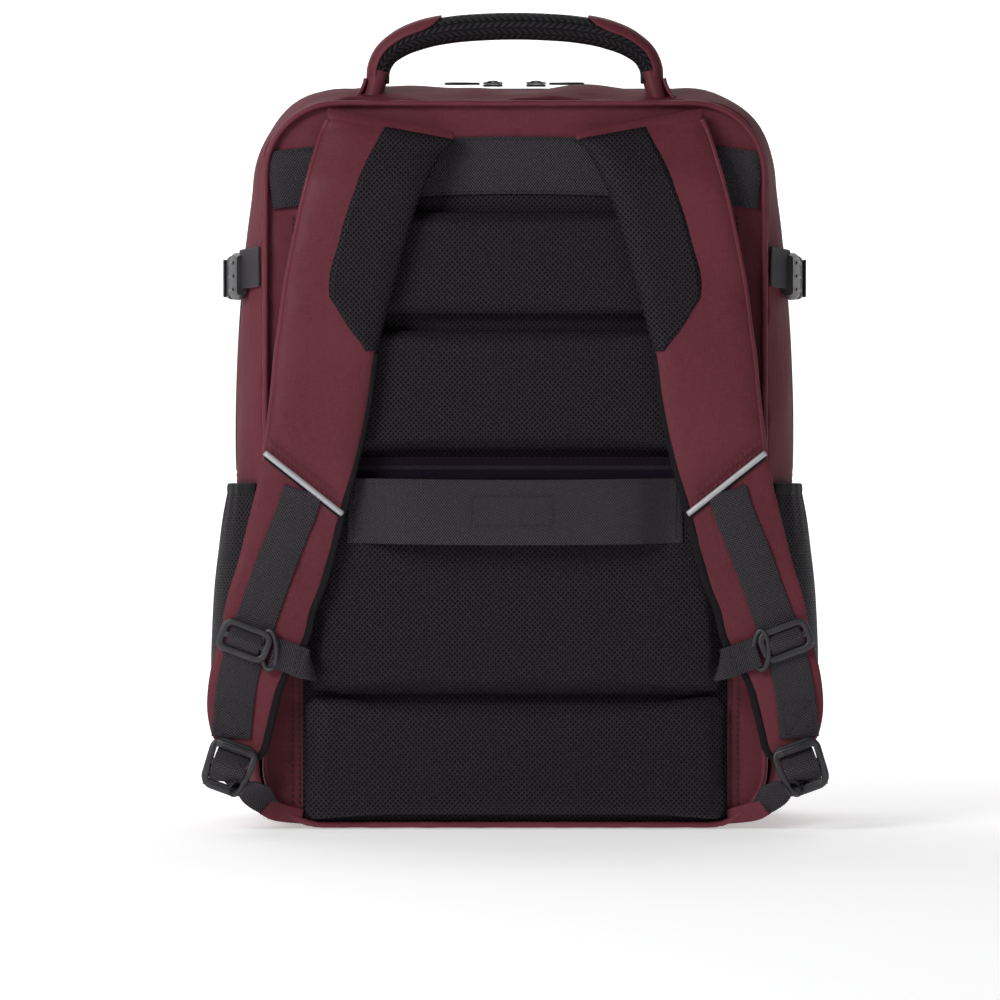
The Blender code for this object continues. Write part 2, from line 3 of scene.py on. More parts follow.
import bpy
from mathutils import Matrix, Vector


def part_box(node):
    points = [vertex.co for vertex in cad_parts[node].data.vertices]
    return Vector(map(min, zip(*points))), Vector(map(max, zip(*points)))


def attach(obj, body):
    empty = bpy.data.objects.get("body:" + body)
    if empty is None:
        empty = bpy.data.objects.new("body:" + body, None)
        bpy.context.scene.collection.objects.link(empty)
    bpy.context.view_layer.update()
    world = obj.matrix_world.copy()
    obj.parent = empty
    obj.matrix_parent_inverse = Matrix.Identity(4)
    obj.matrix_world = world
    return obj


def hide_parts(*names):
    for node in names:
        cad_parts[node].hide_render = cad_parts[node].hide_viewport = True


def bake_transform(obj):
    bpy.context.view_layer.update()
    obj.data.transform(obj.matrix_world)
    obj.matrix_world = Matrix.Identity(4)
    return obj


bl_info = {
    "name": "Travel backpack",
    "version": (1, 0, 0),
    "blender": (4, 5, 0),
    "location": "View3D > Sidebar > Backpack",
    "description": "Builds a travel backpack around its packed frame",
    "category": "Object",
}

import math
import bpy
import numpy as np

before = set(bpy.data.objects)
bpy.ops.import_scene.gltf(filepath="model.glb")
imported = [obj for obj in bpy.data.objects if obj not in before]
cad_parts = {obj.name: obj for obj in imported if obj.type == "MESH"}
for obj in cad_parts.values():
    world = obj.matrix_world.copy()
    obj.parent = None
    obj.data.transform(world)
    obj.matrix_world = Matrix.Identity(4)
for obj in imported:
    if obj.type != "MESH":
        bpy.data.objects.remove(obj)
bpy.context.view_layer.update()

SIDES = ((-1, "L"), (1, "R"))
HALF_WIDTH, HEIGHT = 0.158, 0.455     # seam outline of the back panel
R_BOTTOM, R_TOP = 0.038, 0.047        # its corner radii
Y_PEAK, Y_FRONT = 0.012, 0.0875       # fullest depth of the gusset, front seam
ZIP_END = 0.2235                      # lower ends of the main zip
FOLD_Z = 0.216                        # the front section folds here
REAR_SEAM, FRONT_SEAM = -0.0868, 0.0862    # depths where the gusset starts and ends
MARGIN = 0.0012                       # the cloth ends this far inside the seam outline
PAD_BACK = -0.0903                    # plane that the cushions are sewn to
PIPE_Y, PIPE_IN = -0.0924, 0.0023     # depth of the back's piping, and its inset
FRONT_PIPE_Y, FRONT_PIPE = 0.0880, 0.0032  # depth and thickness of the front's piping
STRAP_Y, WEB_Y = -0.1125, -0.1157     # middle of the shoulder straps, and their webbing
HANDLE_Y = -0.070
ACROSS, DEEP, UP = (1, 0, 0), (0, 1, 0), (0, 0, 1)
REARWARD = (0, -1, 0)                 # out of the bag on its harness side
# outer x, outer z, inner x, inner z and thickness of the left strap, from the top down
STATIONS = np.array((
    (-0.1166, 0.4434, -0.0380, 0.4286, 0.0110), (-0.1225, 0.4281, -0.0475, 0.4190, 0.0110),
    (-0.1325, 0.3900, -0.0620, 0.3870, 0.0110), (-0.1415, 0.3463, -0.0730, 0.3480, 0.0110),
    (-0.1440, 0.3300, -0.0775, 0.3310, 0.0110), (-0.1465, 0.3100, -0.0825, 0.3130, 0.0110),
    (-0.1487, 0.2944, -0.0865, 0.2950, 0.0110), (-0.1510, 0.2700, -0.0905, 0.2660, 0.0110),
    (-0.1535, 0.2480, -0.0958, 0.2390, 0.0100), (-0.1552, 0.2345, -0.1065, 0.1960, 0.0072),
    (-0.1560, 0.2300, -0.1075, 0.1930, 0.0040), (-0.1706, 0.1706, -0.1170, 0.1565, 0.0040),
    (-0.1784, 0.1446, -0.1246, 0.1369, 0.0040), (-0.1830, 0.1206, -0.1300, 0.1165, 0.0040),
    (-0.1885, 0.1006, -0.1440, 0.0930, 0.0040), (-0.1909, 0.0820, -0.1485, 0.0775, 0.0040),
    (-0.1900, 0.0680, -0.1525, 0.0610, 0.0040), (-0.1860, 0.0560, -0.1560, 0.0490, 0.0040),
    (-0.1760, 0.0465, -0.1640, 0.0425, 0.0030)))
MESH_SEAM = (-0.11, -0.07, -0.15, -0.20, -0.14, 0.34, 0.84)   # where the mesh panel starts


# ---- shapes ------------------------------------------------------------------

def unit(v):
    """Vectors scaled to length one."""
    return v / np.maximum(np.linalg.norm(v, axis=-1, keepdims=True), 1e-12)


def power(v, p):
    """v^p that keeps the sign of v."""
    return np.sign(v) * np.abs(v) ** p


def field(x, y, z):
    """Points from three coordinates that broadcast to one shape."""
    return np.stack(np.broadcast_arrays(x, y, z), -1)


def turn(count):
    """Angles of one full turn."""
    return np.linspace(0, 2 * np.pi, count, endpoint=False)


def smooth(t, knots, values):
    """Cubic curve through knots: each span blends its ends and their slopes, the slopes
    being the differences of the neighbours."""
    knots, values = np.asarray(knots, float), np.asarray(values, float)
    t = np.atleast_1d(np.asarray(t, float))
    slopes = np.gradient(values, knots, axis=0)
    i = np.clip(np.searchsorted(knots, t, side="right") - 1, 0, len(knots) - 2)
    h = knots[i + 1] - knots[i]
    s = np.clip((t - knots[i]) / h, 0, 1)
    if values.ndim == 2:
        s, h = s[:, None], h[:, None]
    return ((2 * s**3 - 3 * s**2 + 1) * values[i] + (s**3 - 2 * s**2 + s) * h * slopes[i]
            + (3 * s**2 - 2 * s**3) * values[i + 1] + (s**3 - s**2) * h * slopes[i + 1])


def run_length(path):
    """Distance along a path at each of its points."""
    return np.r_[0, np.cumsum(np.linalg.norm(np.diff(path, axis=0), axis=1))]


def flow(points, count):
    """The smooth curve through a few points, resampled by its length."""
    points = np.asarray(points, float)
    d = run_length(points)
    fine = smooth(np.linspace(0, d[-1], 400), d, points)
    e = run_length(fine)
    s = np.linspace(0, e[-1], count)
    return np.stack([np.interp(s, e, fine[:, k]) for k in range(3)], 1)


def ease(t):
    """3t^2 - 2t^3 from 0 to 1, level outside."""
    t = np.clip(t, 0, 1)
    return t * t * (3 - 2 * t)


def waves(s, *terms):
    """Sum of sines; each term is its length, height and phase."""
    return sum(high * np.sin(2 * np.pi * s / length + phase) for length, high, phase in terms)


def grid(points, wrap_u=False, wrap_v=False, caps=False, facing=None):
    """Quads over rows (u) and columns (v) of points, with the pattern map in metres of
    cloth. Four axes of numbers make a batch of like grids. Faces are turned outwards:
    away from the middle, or along `facing`."""
    points = np.asarray(points, float)
    points = points[None] if points.ndim == 3 else points
    k, m, n = points.shape[:3]
    one = points[0]
    i, j = (a.ravel() for a in np.meshgrid(np.arange(m - 1 + wrap_u),
                                           np.arange(n - 1 + wrap_v), indexing="ij"))
    i2, j2 = (i + 1) % m, (j + 1) % n
    quad = np.stack([i * n + j, i2 * n + j, i2 * n + j2, i * n + j2], 1)
    u = np.r_[0, np.cumsum(np.linalg.norm(np.roll(one, -1, 0) - one, axis=2).mean(1))]
    v = np.r_[0, np.cumsum(np.linalg.norm(np.roll(one, -1, 1) - one, axis=2).mean(0))]
    uv = np.stack([np.stack([u[i], v[j]], 1), np.stack([u[i + 1], v[j]], 1),
                   np.stack([u[i + 1], v[j + 1]], 1), np.stack([u[i], v[j + 1]], 1)], 1)
    groups = [(quad, uv)]
    if caps:
        ring = np.arange(n)
        rim = np.stack([0 * v[:n], v[:n]], 1)
        groups.append((np.stack([ring, (m * n - 1) - ring]), np.stack([rim, rim])))
    flat = one.reshape(-1, 3)
    a, b, c, d = (flat[quad[:, q]] for q in range(4))
    normal = np.cross(c - a, d - b)
    hint = (a + c) / 2 - flat.mean(0) if facing is None else np.asarray(facing, float)
    if (normal * hint).sum() < 0:
        groups = [(f[:, ::-1], t[:, ::-1]) for f, t in groups]
    shift = (np.arange(k) * m * n)[:, None, None]
    groups = [((f[None] + shift).reshape(-1, f.shape[1]),
               np.broadcast_to(t, (k,) + t.shape).reshape(-1, *t.shape[1:])) for f, t in groups]
    return points.reshape(-1, 3), groups


def build(name, look, *parts, wall=0.0, sharp=None):
    """One object of several grids; `wall` thickens it, and edges that bend by more than
    `sharp` degrees are shaded hard."""
    points, index, sizes, maps, base = [], [], [], [], 0
    for p, groups in parts:
        for f, t in groups:
            index.append((f + base).ravel())
            sizes.append(np.full(len(f), f.shape[1]))
            maps.append(t.reshape(-1, 2))
        points.append(p)
        base += len(p)
    points, index, sizes = np.vstack(points), np.concatenate(index), np.concatenate(sizes)
    mesh = bpy.data.meshes.new(name)
    mesh.vertices.add(len(points))
    mesh.vertices.foreach_set("co", points.ravel())
    mesh.loops.add(len(index))
    mesh.loops.foreach_set("vertex_index", index.astype(np.int32))
    mesh.polygons.add(len(sizes))
    mesh.polygons.foreach_set("loop_start", np.r_[0, np.cumsum(sizes)[:-1]].astype(np.int32))
    mesh.uv_layers.new(name="cloth").data.foreach_set("uv", np.vstack(maps).ravel())
    mesh.update(calc_edges=True)
    mesh.validate()
    mesh.shade_smooth()
    if sharp:
        mesh.set_sharp_from_angle(angle=math.radians(sharp))
    obj = bpy.data.objects.new(name, mesh)
    bpy.context.scene.collection.objects.link(obj)
    mesh.materials.append(LOOKS[look])
    if wall:
        extra = obj.modifiers.new("Wall", "SOLIDIFY")
        extra.thickness, extra.offset = wall, 0
    return obj


def place(obj, body, slot, *nodes, pad=None):
    """Rides an object on a body and says its slot, the CAD nodes that it stands for, and
    how full it is padded."""
    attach(obj, body)
    if nodes:
        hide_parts(*nodes)
    return obj


def oval(width, thick, count=20, square=2.0):
    """Closed profile |x|^square + |y|^2 = 1, scaled to width and thickness."""
    a = turn(count)
    return np.stack([power(np.cos(a), 2 / square) * width / 2, np.sin(a) * thick / 2], 1)


def taper(widths):
    """Scales for `carry` that change a profile's width and keep its thickness."""
    return np.stack([widths, np.ones(len(widths))], 1)


def slab(width, thick, corner, steps=3):
    """Closed rectangle profile: straight sides joined by quarter circles."""
    corner = min(corner, width / 2 - 1e-5, thick / 2 - 1e-5)
    a = (np.linspace(0, np.pi / 2, steps + 1)[None] + np.arange(4)[:, None] * np.pi / 2).ravel()
    sx = np.repeat([1, -1, -1, 1], steps + 1) * (width / 2 - corner)
    sy = np.repeat([1, 1, -1, -1], steps + 1) * (thick / 2 - corner)
    return np.stack([sx + corner * np.cos(a), sy + corner * np.sin(a)], 1)


def carry(path, profile, across, closed=False, scale=1.0):
    """A profile carried along a path: point = path + across * px + normal * py, where
    across is squared to the path's direction."""
    path = np.asarray(path, float)
    way = unit(np.roll(path, -1, 0) - np.roll(path, 1, 0) if closed
               else np.gradient(path, axis=0))
    side = np.broadcast_to(np.asarray(across, float), path.shape)
    side = unit(side - (side * way).sum(1, keepdims=True) * way)
    up = np.cross(way, side)
    scale = np.asarray(scale, float)
    scale = np.ones((len(path), 2)) * (scale[:, None] if scale.ndim == 1 else scale)
    points = (path[:, None] + side[:, None] * (profile[None, :, :1] * scale[:, None, :1])
              + up[:, None] * (profile[None, :, 1:] * scale[:, None, 1:]))
    return grid(points, wrap_u=closed, wrap_v=True, caps=not closed)


def ribbon(path, width, thick, across, count):
    """Webbing along the smooth curve through a few points."""
    return carry(flow(path, count), slab(width, thick, thick * 0.45, 2), across)


def bars(a, b, radius, up=UP, sides=5, fat=(0.35, 0.85, 1.0, 0.85, 0.35)):
    """A batch of small rounded bars from points a to points b: point = a + (b - a) t +
    radius * fat(t) * (side cos + other sin) of the angle."""
    way = unit(b - a)
    side = unit(np.cross(way, np.asarray(up, float)) + 1e-9)
    other = np.cross(way, side)
    t = np.linspace(0, 1, len(fat))
    r = radius * np.asarray(fat)[:, None, None]
    angle = (np.arange(sides) * 2 * np.pi / sides)[:, None]
    a, way, side, other = (v[:, None, None] for v in (a, b - a, side, other))
    return grid(a + way * t[:, None, None] + r * (side * np.cos(angle) + other * np.sin(angle)),
                wrap_v=True, caps=True)


def along(path, s):
    """Points of a path at distances s."""
    d = run_length(path)
    return np.stack([np.interp(s, d, path[:, k]) for k in range(3)], 1)


def stitches(path, stitch=0.0026, gap=0.0012, radius=0.00038, up=(0, 1, 0.01)):
    """A row of stitches, each a small bar, over a path."""
    path = np.asarray(path, float)
    s = np.arange(gap, run_length(path)[-1] - stitch, stitch + gap)
    return bars(along(path, s), along(path, s + stitch), radius, up)


def local(points, middle, right, up, out):
    """Points given along a part's own right, up and out directions."""
    points = np.asarray(points, float)
    return (np.asarray(middle, float) + points[..., :1] * np.asarray(right, float)
            + points[..., 1:2] * np.asarray(up, float) + points[..., 2:] * np.asarray(out, float))


def loop_path(width, height, corner, steps=6):
    """Rounded rectangle as a closed path in its own plane."""
    flat = slab(width, height, corner, steps)
    return np.c_[flat, np.zeros(len(flat))]


# ---- the bag's own surfaces ----------------------------------------------------

def outline():
    """Seam outline from the right bottom corner over the top to the left one: x, z and
    the outward normal's x, z."""
    a, b = np.linspace(0, np.pi / 2, 12), np.linspace(0, np.pi / 2, 18)
    z = np.linspace(R_BOTTOM, HEIGHT - R_TOP, 110)[1:-1]
    x = np.linspace(HALF_WIDTH - R_TOP, 0, 36)[1:]
    half = np.vstack([
        np.stack([HALF_WIDTH - R_BOTTOM + R_BOTTOM * np.sin(a), R_BOTTOM - R_BOTTOM * np.cos(a),
                  np.sin(a), -np.cos(a)], 1),
        np.stack([0 * z + HALF_WIDTH, z, 0 * z + 1, 0 * z], 1),
        np.stack([HALF_WIDTH - R_TOP + R_TOP * np.cos(b), HEIGHT - R_TOP + R_TOP * np.sin(b),
                  np.cos(b), np.sin(b)], 1),
        np.stack([x, 0 * x + HEIGHT, 0 * x, 0 * x + 1], 1)])
    return np.vstack([half, half[::-1][1:] * (-1, 1, -1, 1)])


def upper(rail, low):
    """The part of an outline above a height, starting exactly at it."""
    kept = rail[rail[:, 1] > low + 0.0015]
    return np.vstack([[HALF_WIDTH, low, 1, 0], kept, [-HALF_WIDTH, low, -1, 0]])


def bulge(z):
    """How far the gusset stands outside its seams: most at the waist, little at the upper
    corners, where the filling falls away."""
    return smooth(z, (0.0, 0.02, 0.10, 0.24, 0.30, 0.36, 0.415, 0.44, HEIGHT),
                  (0.0, 0.003, 0.011, 0.0220, 0.0208, 0.0165, 0.0105, 0.0115, 0.016))


def fullness(y):
    """1 - |distance from the fullest depth, over the distance to the seam|^2.2."""
    span = np.where(y < Y_PEAK, Y_PEAK + 0.087, Y_FRONT - Y_PEAK)
    return 1 - np.minimum(np.abs((y - Y_PEAK) / span), 1) ** 2.2


def gusset(rail, depths, lift=0.0, folds=0.0):
    """Point = outline + normal * (bulge(z) * fullness(y) + lift + folds), the folds being
    short gathers that die out away from the rear seam and long soft ones over the top.
    At the rear seam they never sink below the back cloth."""
    x, z, nx, nz = (rail[:, k][:, None] for k in range(4))
    y = np.asarray(depths, float)[None]
    s = run_length(rail[:, :2])[:, None]
    seam = np.exp(-(y + 0.087) / 0.018)
    rear = ease((0.004 - y) / 0.02)
    gathers = seam * waves(s, (0.021, 0.00035, 0.0), (0.034, 0.0004, 1.0))
    top = ease((z - 0.40) / 0.04) * waves(s + 0.4 * y, (0.061, 0.0008, 0.4), (0.113, 0.0011, 2.0))
    rise = folds * ease((z - 0.012) / 0.03) * (
        gathers + rear * (top + waves(s - 0.8 * y, (0.083, 0.0005, 0.9))))
    rise = np.maximum(rise, -0.0002 - 0.10 * (y - REAR_SEAM))
    out = bulge(z[:, 0])[:, None] * fullness(y) - MARGIN + lift + rise
    return field(x + nx * out, y, z + nz * out)


def half_width(z):
    """Half the width of the seam outline at a height, round at its corners."""
    low = np.clip((R_BOTTOM - z) / R_BOTTOM, 0, 1)
    high = np.clip((z - HEIGHT + R_TOP) / R_TOP, 0, 1)
    return (HALF_WIDTH - R_BOTTOM * (1 - np.sqrt(1 - low**2))
            - R_TOP * (1 - np.sqrt(1 - high**2)))


def panel(low, high, depth, rows=90, columns=80):
    """A panel that fills the seam outline between two heights; depth(x, z, u, v) gives
    its y."""
    t = np.linspace(0, 1, rows)
    z = low + (high - low) * (t - 0.06 * np.sin(2 * np.pi * t))
    u = np.sin(np.linspace(-1, 1, columns) * np.pi / 2)[None]
    x, z = u * half_width(z)[:, None], z[:, None]
    return field(x, depth(x, z, u, (z - HEIGHT / 2) / (HEIGHT / 2)), z)


def at_depth(path, y):
    """A path of x and z laid at one depth."""
    return field(path[:, 0], y, path[:, 1])


def strap_rows(t):
    """Middle, half span and thickness of the strap at parameter t, which is 0 at the fold
    and goes up by one for each row of STATIONS."""
    row = smooth(t, np.arange(len(STATIONS)), STATIONS)
    return (row[:, :2] + row[:, 2:4]) / 2, (row[:, 2:4] - row[:, :2]) / 2, row[:, 4]


def strap_depth(z):
    """Depth of the strap's middle plane: it leans in to the bag near the fold."""
    z = np.asarray(z, float)
    return smooth(z.ravel(), (0.395, 0.402, 0.412, 0.425, 0.436),
                  (STRAP_Y, -0.1120, -0.1092, -0.1045, -0.1005)).reshape(z.shape)


def strap_surface(side, t, angle, lift, thick):
    """Points of the strap's skin: across it u = cos^(2/5) of the angle, and it stands
    sin(angle) * (thickness / 2 + lift) in front of the middle plane."""
    mid, half, _ = strap_rows(t)
    at = mid[:, None] + half[:, None] * power(np.cos(angle), 0.4)[None, :, None]
    shape = np.sin(angle)[None] * (thick[:, None] / 2 + lift)
    return field(-side * at[..., 0], strap_depth(at[..., 1]) - shape, at[..., 1])


def on_strap(side, t, u):
    """A line on the strap's front face, u -1 at the outer edge and 1 at the inner one."""
    t, u = np.broadcast_arrays(np.asarray(t, float), np.asarray(u, float))
    mid, half, thick = strap_rows(t)
    at = mid + half * u[:, None]
    crown = np.sqrt(np.maximum(1 - np.abs(u) ** 5, 0)) * thick / 2
    return field(-side * at[:, 0], strap_depth(at[:, 1]) - crown, at[:, 1])


# ---- finishes ------------------------------------------------------------------

def arithmetic(operation, swapped=False):
    """A method that adds one Math node, with its terms swapped for the reflected form."""
    def method(self, other):
        return self.math(operation, *((other, self) if swapped else (self, other)))
    return method


class Flow:
    """A value in a material; Python arithmetic on it adds Math nodes."""

    def __init__(self, recipe, socket):
        self.recipe, self.socket = recipe, socket

    def math(self, operation, *terms):
        """One Math node over the terms."""
        return self.recipe.add("ShaderNodeMath", {"operation": operation},
                               dict(enumerate(terms)))

    __add__, __radd__ = arithmetic("ADD"), arithmetic("ADD", True)
    __sub__, __rsub__ = arithmetic("SUBTRACT"), arithmetic("SUBTRACT", True)
    __mul__, __rmul__ = arithmetic("MULTIPLY"), arithmetic("MULTIPLY", True)
    __truediv__, __pow__ = arithmetic("DIVIDE"), arithmetic("POWER")

    def __abs__(self):
        return self.math("ABSOLUTE", self)

    def wave(self, length, kind="SINE"):
        """Sine, or cosine, of this value with a wavelength."""
        return self.math(kind, self * (2 * math.pi / length))

    def fraction(self):
        """What is left over above a whole number."""
        return self.math("FRACT", self)

    def step(self, low, high):
        """0 below low, 1 above high, smooth between."""
        return self.recipe.add("ShaderNodeMapRange", {"interpolation_type": "SMOOTHSTEP"},
                               {"Value": self, "From Min": low, "From Max": high})


class Recipe:
    """One material being mixed."""

    def __init__(self, name):
        self.material = bpy.data.materials.new(name)
        self.material.use_nodes = True
        self.tree = self.material.node_tree
        self.shader = self.tree.nodes["Principled BSDF"]

    def add(self, kind, settings, inputs, out=0):
        """Adds a node: its settings first, then the values or links of its sockets."""
        node = self.tree.nodes.new(kind)
        for key, value in settings.items():
            setattr(node, key, value)
        self.fill(node, inputs)
        return Flow(self, node.outputs[out])

    def fill(self, node, inputs):
        """Links or sets the sockets of a node."""
        for key, value in inputs.items():
            if isinstance(value, Flow):
                self.tree.links.new(value.socket, node.inputs[key])
            else:
                node.inputs[key].default_value = value

    def mix(self, factor, a, b):
        """A colour between a and b."""
        a, b = (c if isinstance(c, Flow) else (*c, 1.0) for c in (a, b))
        return self.add("ShaderNodeMix", {"data_type": "RGBA"}, {0: factor, 6: a, 7: b}, out=2)

    def place(self, follow):
        """Position as three values: on the object, or on its own cloth map."""
        source = self.add("ShaderNodeTexCoord", {}, {}, out="UV" if follow else "Object")
        node = self.tree.nodes.new("ShaderNodeSeparateXYZ")
        self.tree.links.new(source.socket, node.inputs[0])
        return source, [Flow(self, s) for s in node.outputs]

    def noise(self, where, scale, detail=2.0, stretch=(1, 1, 1)):
        """Noise of a scale per metre, stretched along an axis whose factor is below 1."""
        spread = self.add("ShaderNodeMapping", {}, {"Vector": where, "Scale": stretch})
        return self.add("ShaderNodeTexNoise", {},
                        {"Vector": spread, "Scale": scale, "Detail": detail})

    def bump(self, height, distance, strength=1.0, under=None):
        """Relief of a height map, over another relief if one is given."""
        inputs = {"Height": height, "Distance": distance, "Strength": strength}
        if under:
            inputs["Normal"] = under
        return self.add("ShaderNodeBump", {}, inputs)

    def finish(self, colour, rough, normal, **fixed):
        """Fills the shader; fixed values go on its own sockets."""
        self.fill(self.shader, {"Base Color": colour, "Roughness": rough, "Normal": normal,
                                **{k.replace("_", " "): v for k, v in fixed.items()}})
        return self.material


def shade(colour, factor):
    """A colour made lighter or darker."""
    return tuple(c * factor for c in colour)


def nylon(name, colour, rough=0.46, shine=0.11):
    """Satin nylon: fine crossed threads, soft creases, a faint bloom in the colour."""
    r = Recipe(name)
    where, _ = r.place(False)
    cloth, _ = r.place(True)
    threads = r.noise(cloth, 900, 2, (1, 0.18, 1)) + r.noise(cloth, 900, 2, (0.18, 1, 1))
    creases = r.noise(where, 26, 3, (1, 1, 0.55))
    cloud = r.noise(where, 9, 2)
    base = r.mix(cloud.step(0.3, 0.7), shade(colour, 0.88), shade(colour, 1.10))
    base = r.mix((threads * 0.5).step(0.35, 0.65) * 0.35, base, shade(colour, 1.45))
    normal = r.bump(threads, 0.00022, 0.55, r.bump(creases, 0.0032, 0.55))
    return r.finish(base, threads * 0.10 + (rough - 0.10), normal, Specular_IOR_Level=shine)


def spacer_mesh(name, knit, follow, across=0.0032, rows=0.0034):
    """Knitted mesh with upright oval holes in staggered rows over a dark base."""
    r = Recipe(name)
    where, (x, y, z) = r.place(follow)
    if follow:
        z = y
    drift = r.noise(where, 60, 1) * 0.0011
    holes = ((x + drift).wave(across, "COSINE")
             * (z + drift).wave(rows, "COSINE")).step(0.12, 0.62)
    fibre = r.noise(where, 1500, 2)
    # Fibres flecked darker and lighter: painted glints on the knit.
    lit = r.mix(fibre.step(0.35, 0.7), shade(knit, 0.65), shade(knit, 1.5))
    # Holes near black: painted shade inside the holes.
    base = r.mix(holes, lit, (0.0030, 0.0024, 0.0032))
    normal = r.bump(1 - holes, 0.0009, 1.0, r.bump(fibre, 0.0002, 0.4))
    return r.finish(base, holes * 0.2 + 0.62, normal, Specular_IOR_Level=0.15)


def webbing(name, colour, pitch=0.0017):
    """Square-ribbed woven webbing with a darker selvedge between the picks."""
    r = Recipe(name)
    cloth, (u, v, _) = r.place(True)
    rib = (u.wave(pitch) * v.wave(pitch * 1.25)) * 0.5 + 0.5
    fray = r.noise(cloth, 700, 2)
    # Rib colour runs from dark to light: painted shade in the grooves, painted highlight on the
    # crests.
    base = r.mix(rib.step(0.15, 0.75), shade(colour, 0.22), shade(colour, 1.55))
    base = r.mix(fray.step(0.45, 0.75) * 0.35, base, shade(colour, 1.9))
    normal = r.bump(rib + fray * 0.35, 0.0009, 1.0)
    return r.finish(base, rib * -0.08 + 0.62, normal, Specular_IOR_Level=0.15)


def braid(name, colour):
    """Herringbone braid: slanted cords that change direction from lane to lane."""
    r = Recipe(name)
    cloth, (u, v, _) = r.place(True)
    lane = abs((v / 0.0090).fraction() - 0.5)
    cord = abs(((u / 0.0044) + lane * 1.9).fraction() - 0.5) * 2
    edge = (0.5 - lane).step(0.0, 0.07) * lane.step(0.0, 0.07)
    fibre = r.noise(cloth, 1300, 2)
    height = (1 - cord ** 2) * edge
    # Dark between the cords and along the lane edges: painted shade in the grooves.
    base = r.mix(height.step(0.1, 0.8), shade(colour, 0.25), colour)
    base = r.mix(fibre.step(0.4, 0.75) * 0.4, base, shade(colour, 1.9))
    return r.finish(base, fibre * 0.1 + 0.52, r.bump(height + fibre * 0.12, 0.0011, 1.0),
                    Specular_IOR_Level=0.15)


def moulded(name, colour, rough=0.42, metal=0.0, grain=1.0):
    """Moulded plastic or coated metal: fine grain and edges rubbed a little brighter."""
    r = Recipe(name)
    where, _ = r.place(False)
    spark = r.noise(where, 2600, 2)
    bright_patches = r.noise(where, 160, 3)
    # Random patches made a little lighter and rougher.
    base = r.mix(bright_patches.step(0.45, 0.75) * 0.5, colour, shade(colour, 1.7))
    return r.finish(base, bright_patches * 0.14 + (rough - 0.07), r.bump(spark, 0.00006 * grain, 0.6),
                    Metallic=metal, Specular_IOR_Level=0.5)


def piping_silver(name, colour):
    """Reflective tape full of tiny glass beads."""
    r = Recipe(name)
    cloth, _ = r.place(True)
    beads = r.noise(cloth, 3000, 1)
    base = r.mix(beads.step(0.3, 0.7), shade(colour, 0.82), colour)
    return r.finish(base, beads * 0.15 + 0.35, r.bump(beads, 0.00008, 0.5),
                    Metallic=0.25, Sheen_Weight=0.2)


def flute_sheet(name, colour):
    """Fluted plastic board: fine upright ribs."""
    r = Recipe(name)
    _, (x, _, _) = r.place(False)
    rib = abs(x.wave(0.006))
    # Darker where the ribs dip: painted shade in the grooves between the ribs.
    base = r.mix(rib.step(0.1, 0.9), shade(colour, 0.8), colour)
    return r.finish(base, rib * 0.1 + 0.4, r.bump(rib, 0.0004, 0.6))


def backdrop(name, colour):
    """Paper that is nearly even, with a glow of its own."""
    r = Recipe(name)
    where, _ = r.place(False)
    soft = r.noise(where, 3, 2)
    base = r.mix(soft, shade(colour, 0.985), colour)
    return r.finish(base, soft * 0.05 + 0.85, r.bump(soft, 0.0005, 0.1),
                    Specular_IOR_Level=0.1, Emission_Color=(1, 1, 1, 1), Emission_Strength=0.42)


LOOKS = {}    # every finish by its short name, filled when the first step runs


def mix_looks(colours):
    """Mixes all finishes from the colours that the user may change."""
    red, black, web = (tuple(getattr(colours, k)) for k in ("nylon", "mesh", "webbing"))
    LOOKS.update(
        nylon=nylon("burgundy_nylon", red),
        nylon_side=nylon("burgundy_nylon_side", red, 0.60, 0.02),
        # Lighter, shinier copy of the nylon for piping and folded edges: a painted highlight.
        nylon_edge=nylon("folded_nylon_edge", shade(red, 1.15), 0.36),
        mesh=spacer_mesh("spacer_mesh", black, False),
        pocket=spacer_mesh("pocket_mesh", shade(black, 1.1), True, 0.0036, 0.0040),
        binding=webbing("binding_tape", shade(web, 0.45), 0.0008),
        webbing=webbing("ribbed_webbing", web),
        braid=braid("handle_braid", shade(web, 0.34)),
        tape=webbing("zip_tape", (0.026, 0.014, 0.030), 0.0007),
        coil=moulded("zip_coil", (0.020, 0.011, 0.024), 0.35),
        lining=nylon("grey_lining", (0.060, 0.058, 0.064), 0.6),
        plastic=moulded("moulded_plastic", tuple(colours.plastic)),
        sheet=flute_sheet("fluted_board", (0.30, 0.30, 0.31)),
        zinc=moulded("coated_zinc", (0.030, 0.028, 0.031), 0.3, 0.6, 0.4),
        silver=piping_silver("reflective_piping", tuple(colours.piping)),
        thread=nylon("burgundy_thread", shade(red, 1.25), 0.4),
        dark_thread=nylon("dark_thread", (0.030, 0.026, 0.031), 0.5),
        floor=backdrop("pale_paper", (0.86, 0.86, 0.865)))


def size(key):
    """A size from the sidebar, in metres."""
    return getattr(bpy.context.scene.pack_sizes, key)


# ---- the shell -------------------------------------------------------------------

def back_depth(x, z, u, v):
    """Flat behind the cushions, with soft folds in the border outside them."""
    border = ease((np.abs(x) - 0.128) / 0.012) + ease((z - 0.428) / 0.010)
    folds = (waves(z + 0.3 * x, (0.047, 0.0006, 0.3), (0.023, 0.00035, 1.1))
             + waves(x - 0.2 * z, (0.071, 0.0005, 0.5)))
    return -0.0886 + np.clip(border, 0, 1) * (0.0004 + 0.5 * np.abs(folds))


def front_depth(x, z, u, v):
    """Crowned by (1 - u^4)(1 - v^4), with soft folds."""
    soft = waves(x + 0.3 * z, (0.120, 0.0006, 0.4)) + waves(z - 0.2 * x, (0.09, 0.0005, 1.4))
    return 0.0892 + (0.010 + soft) * (1 - np.abs(u) ** 4) * (1 - np.abs(v) ** 4)


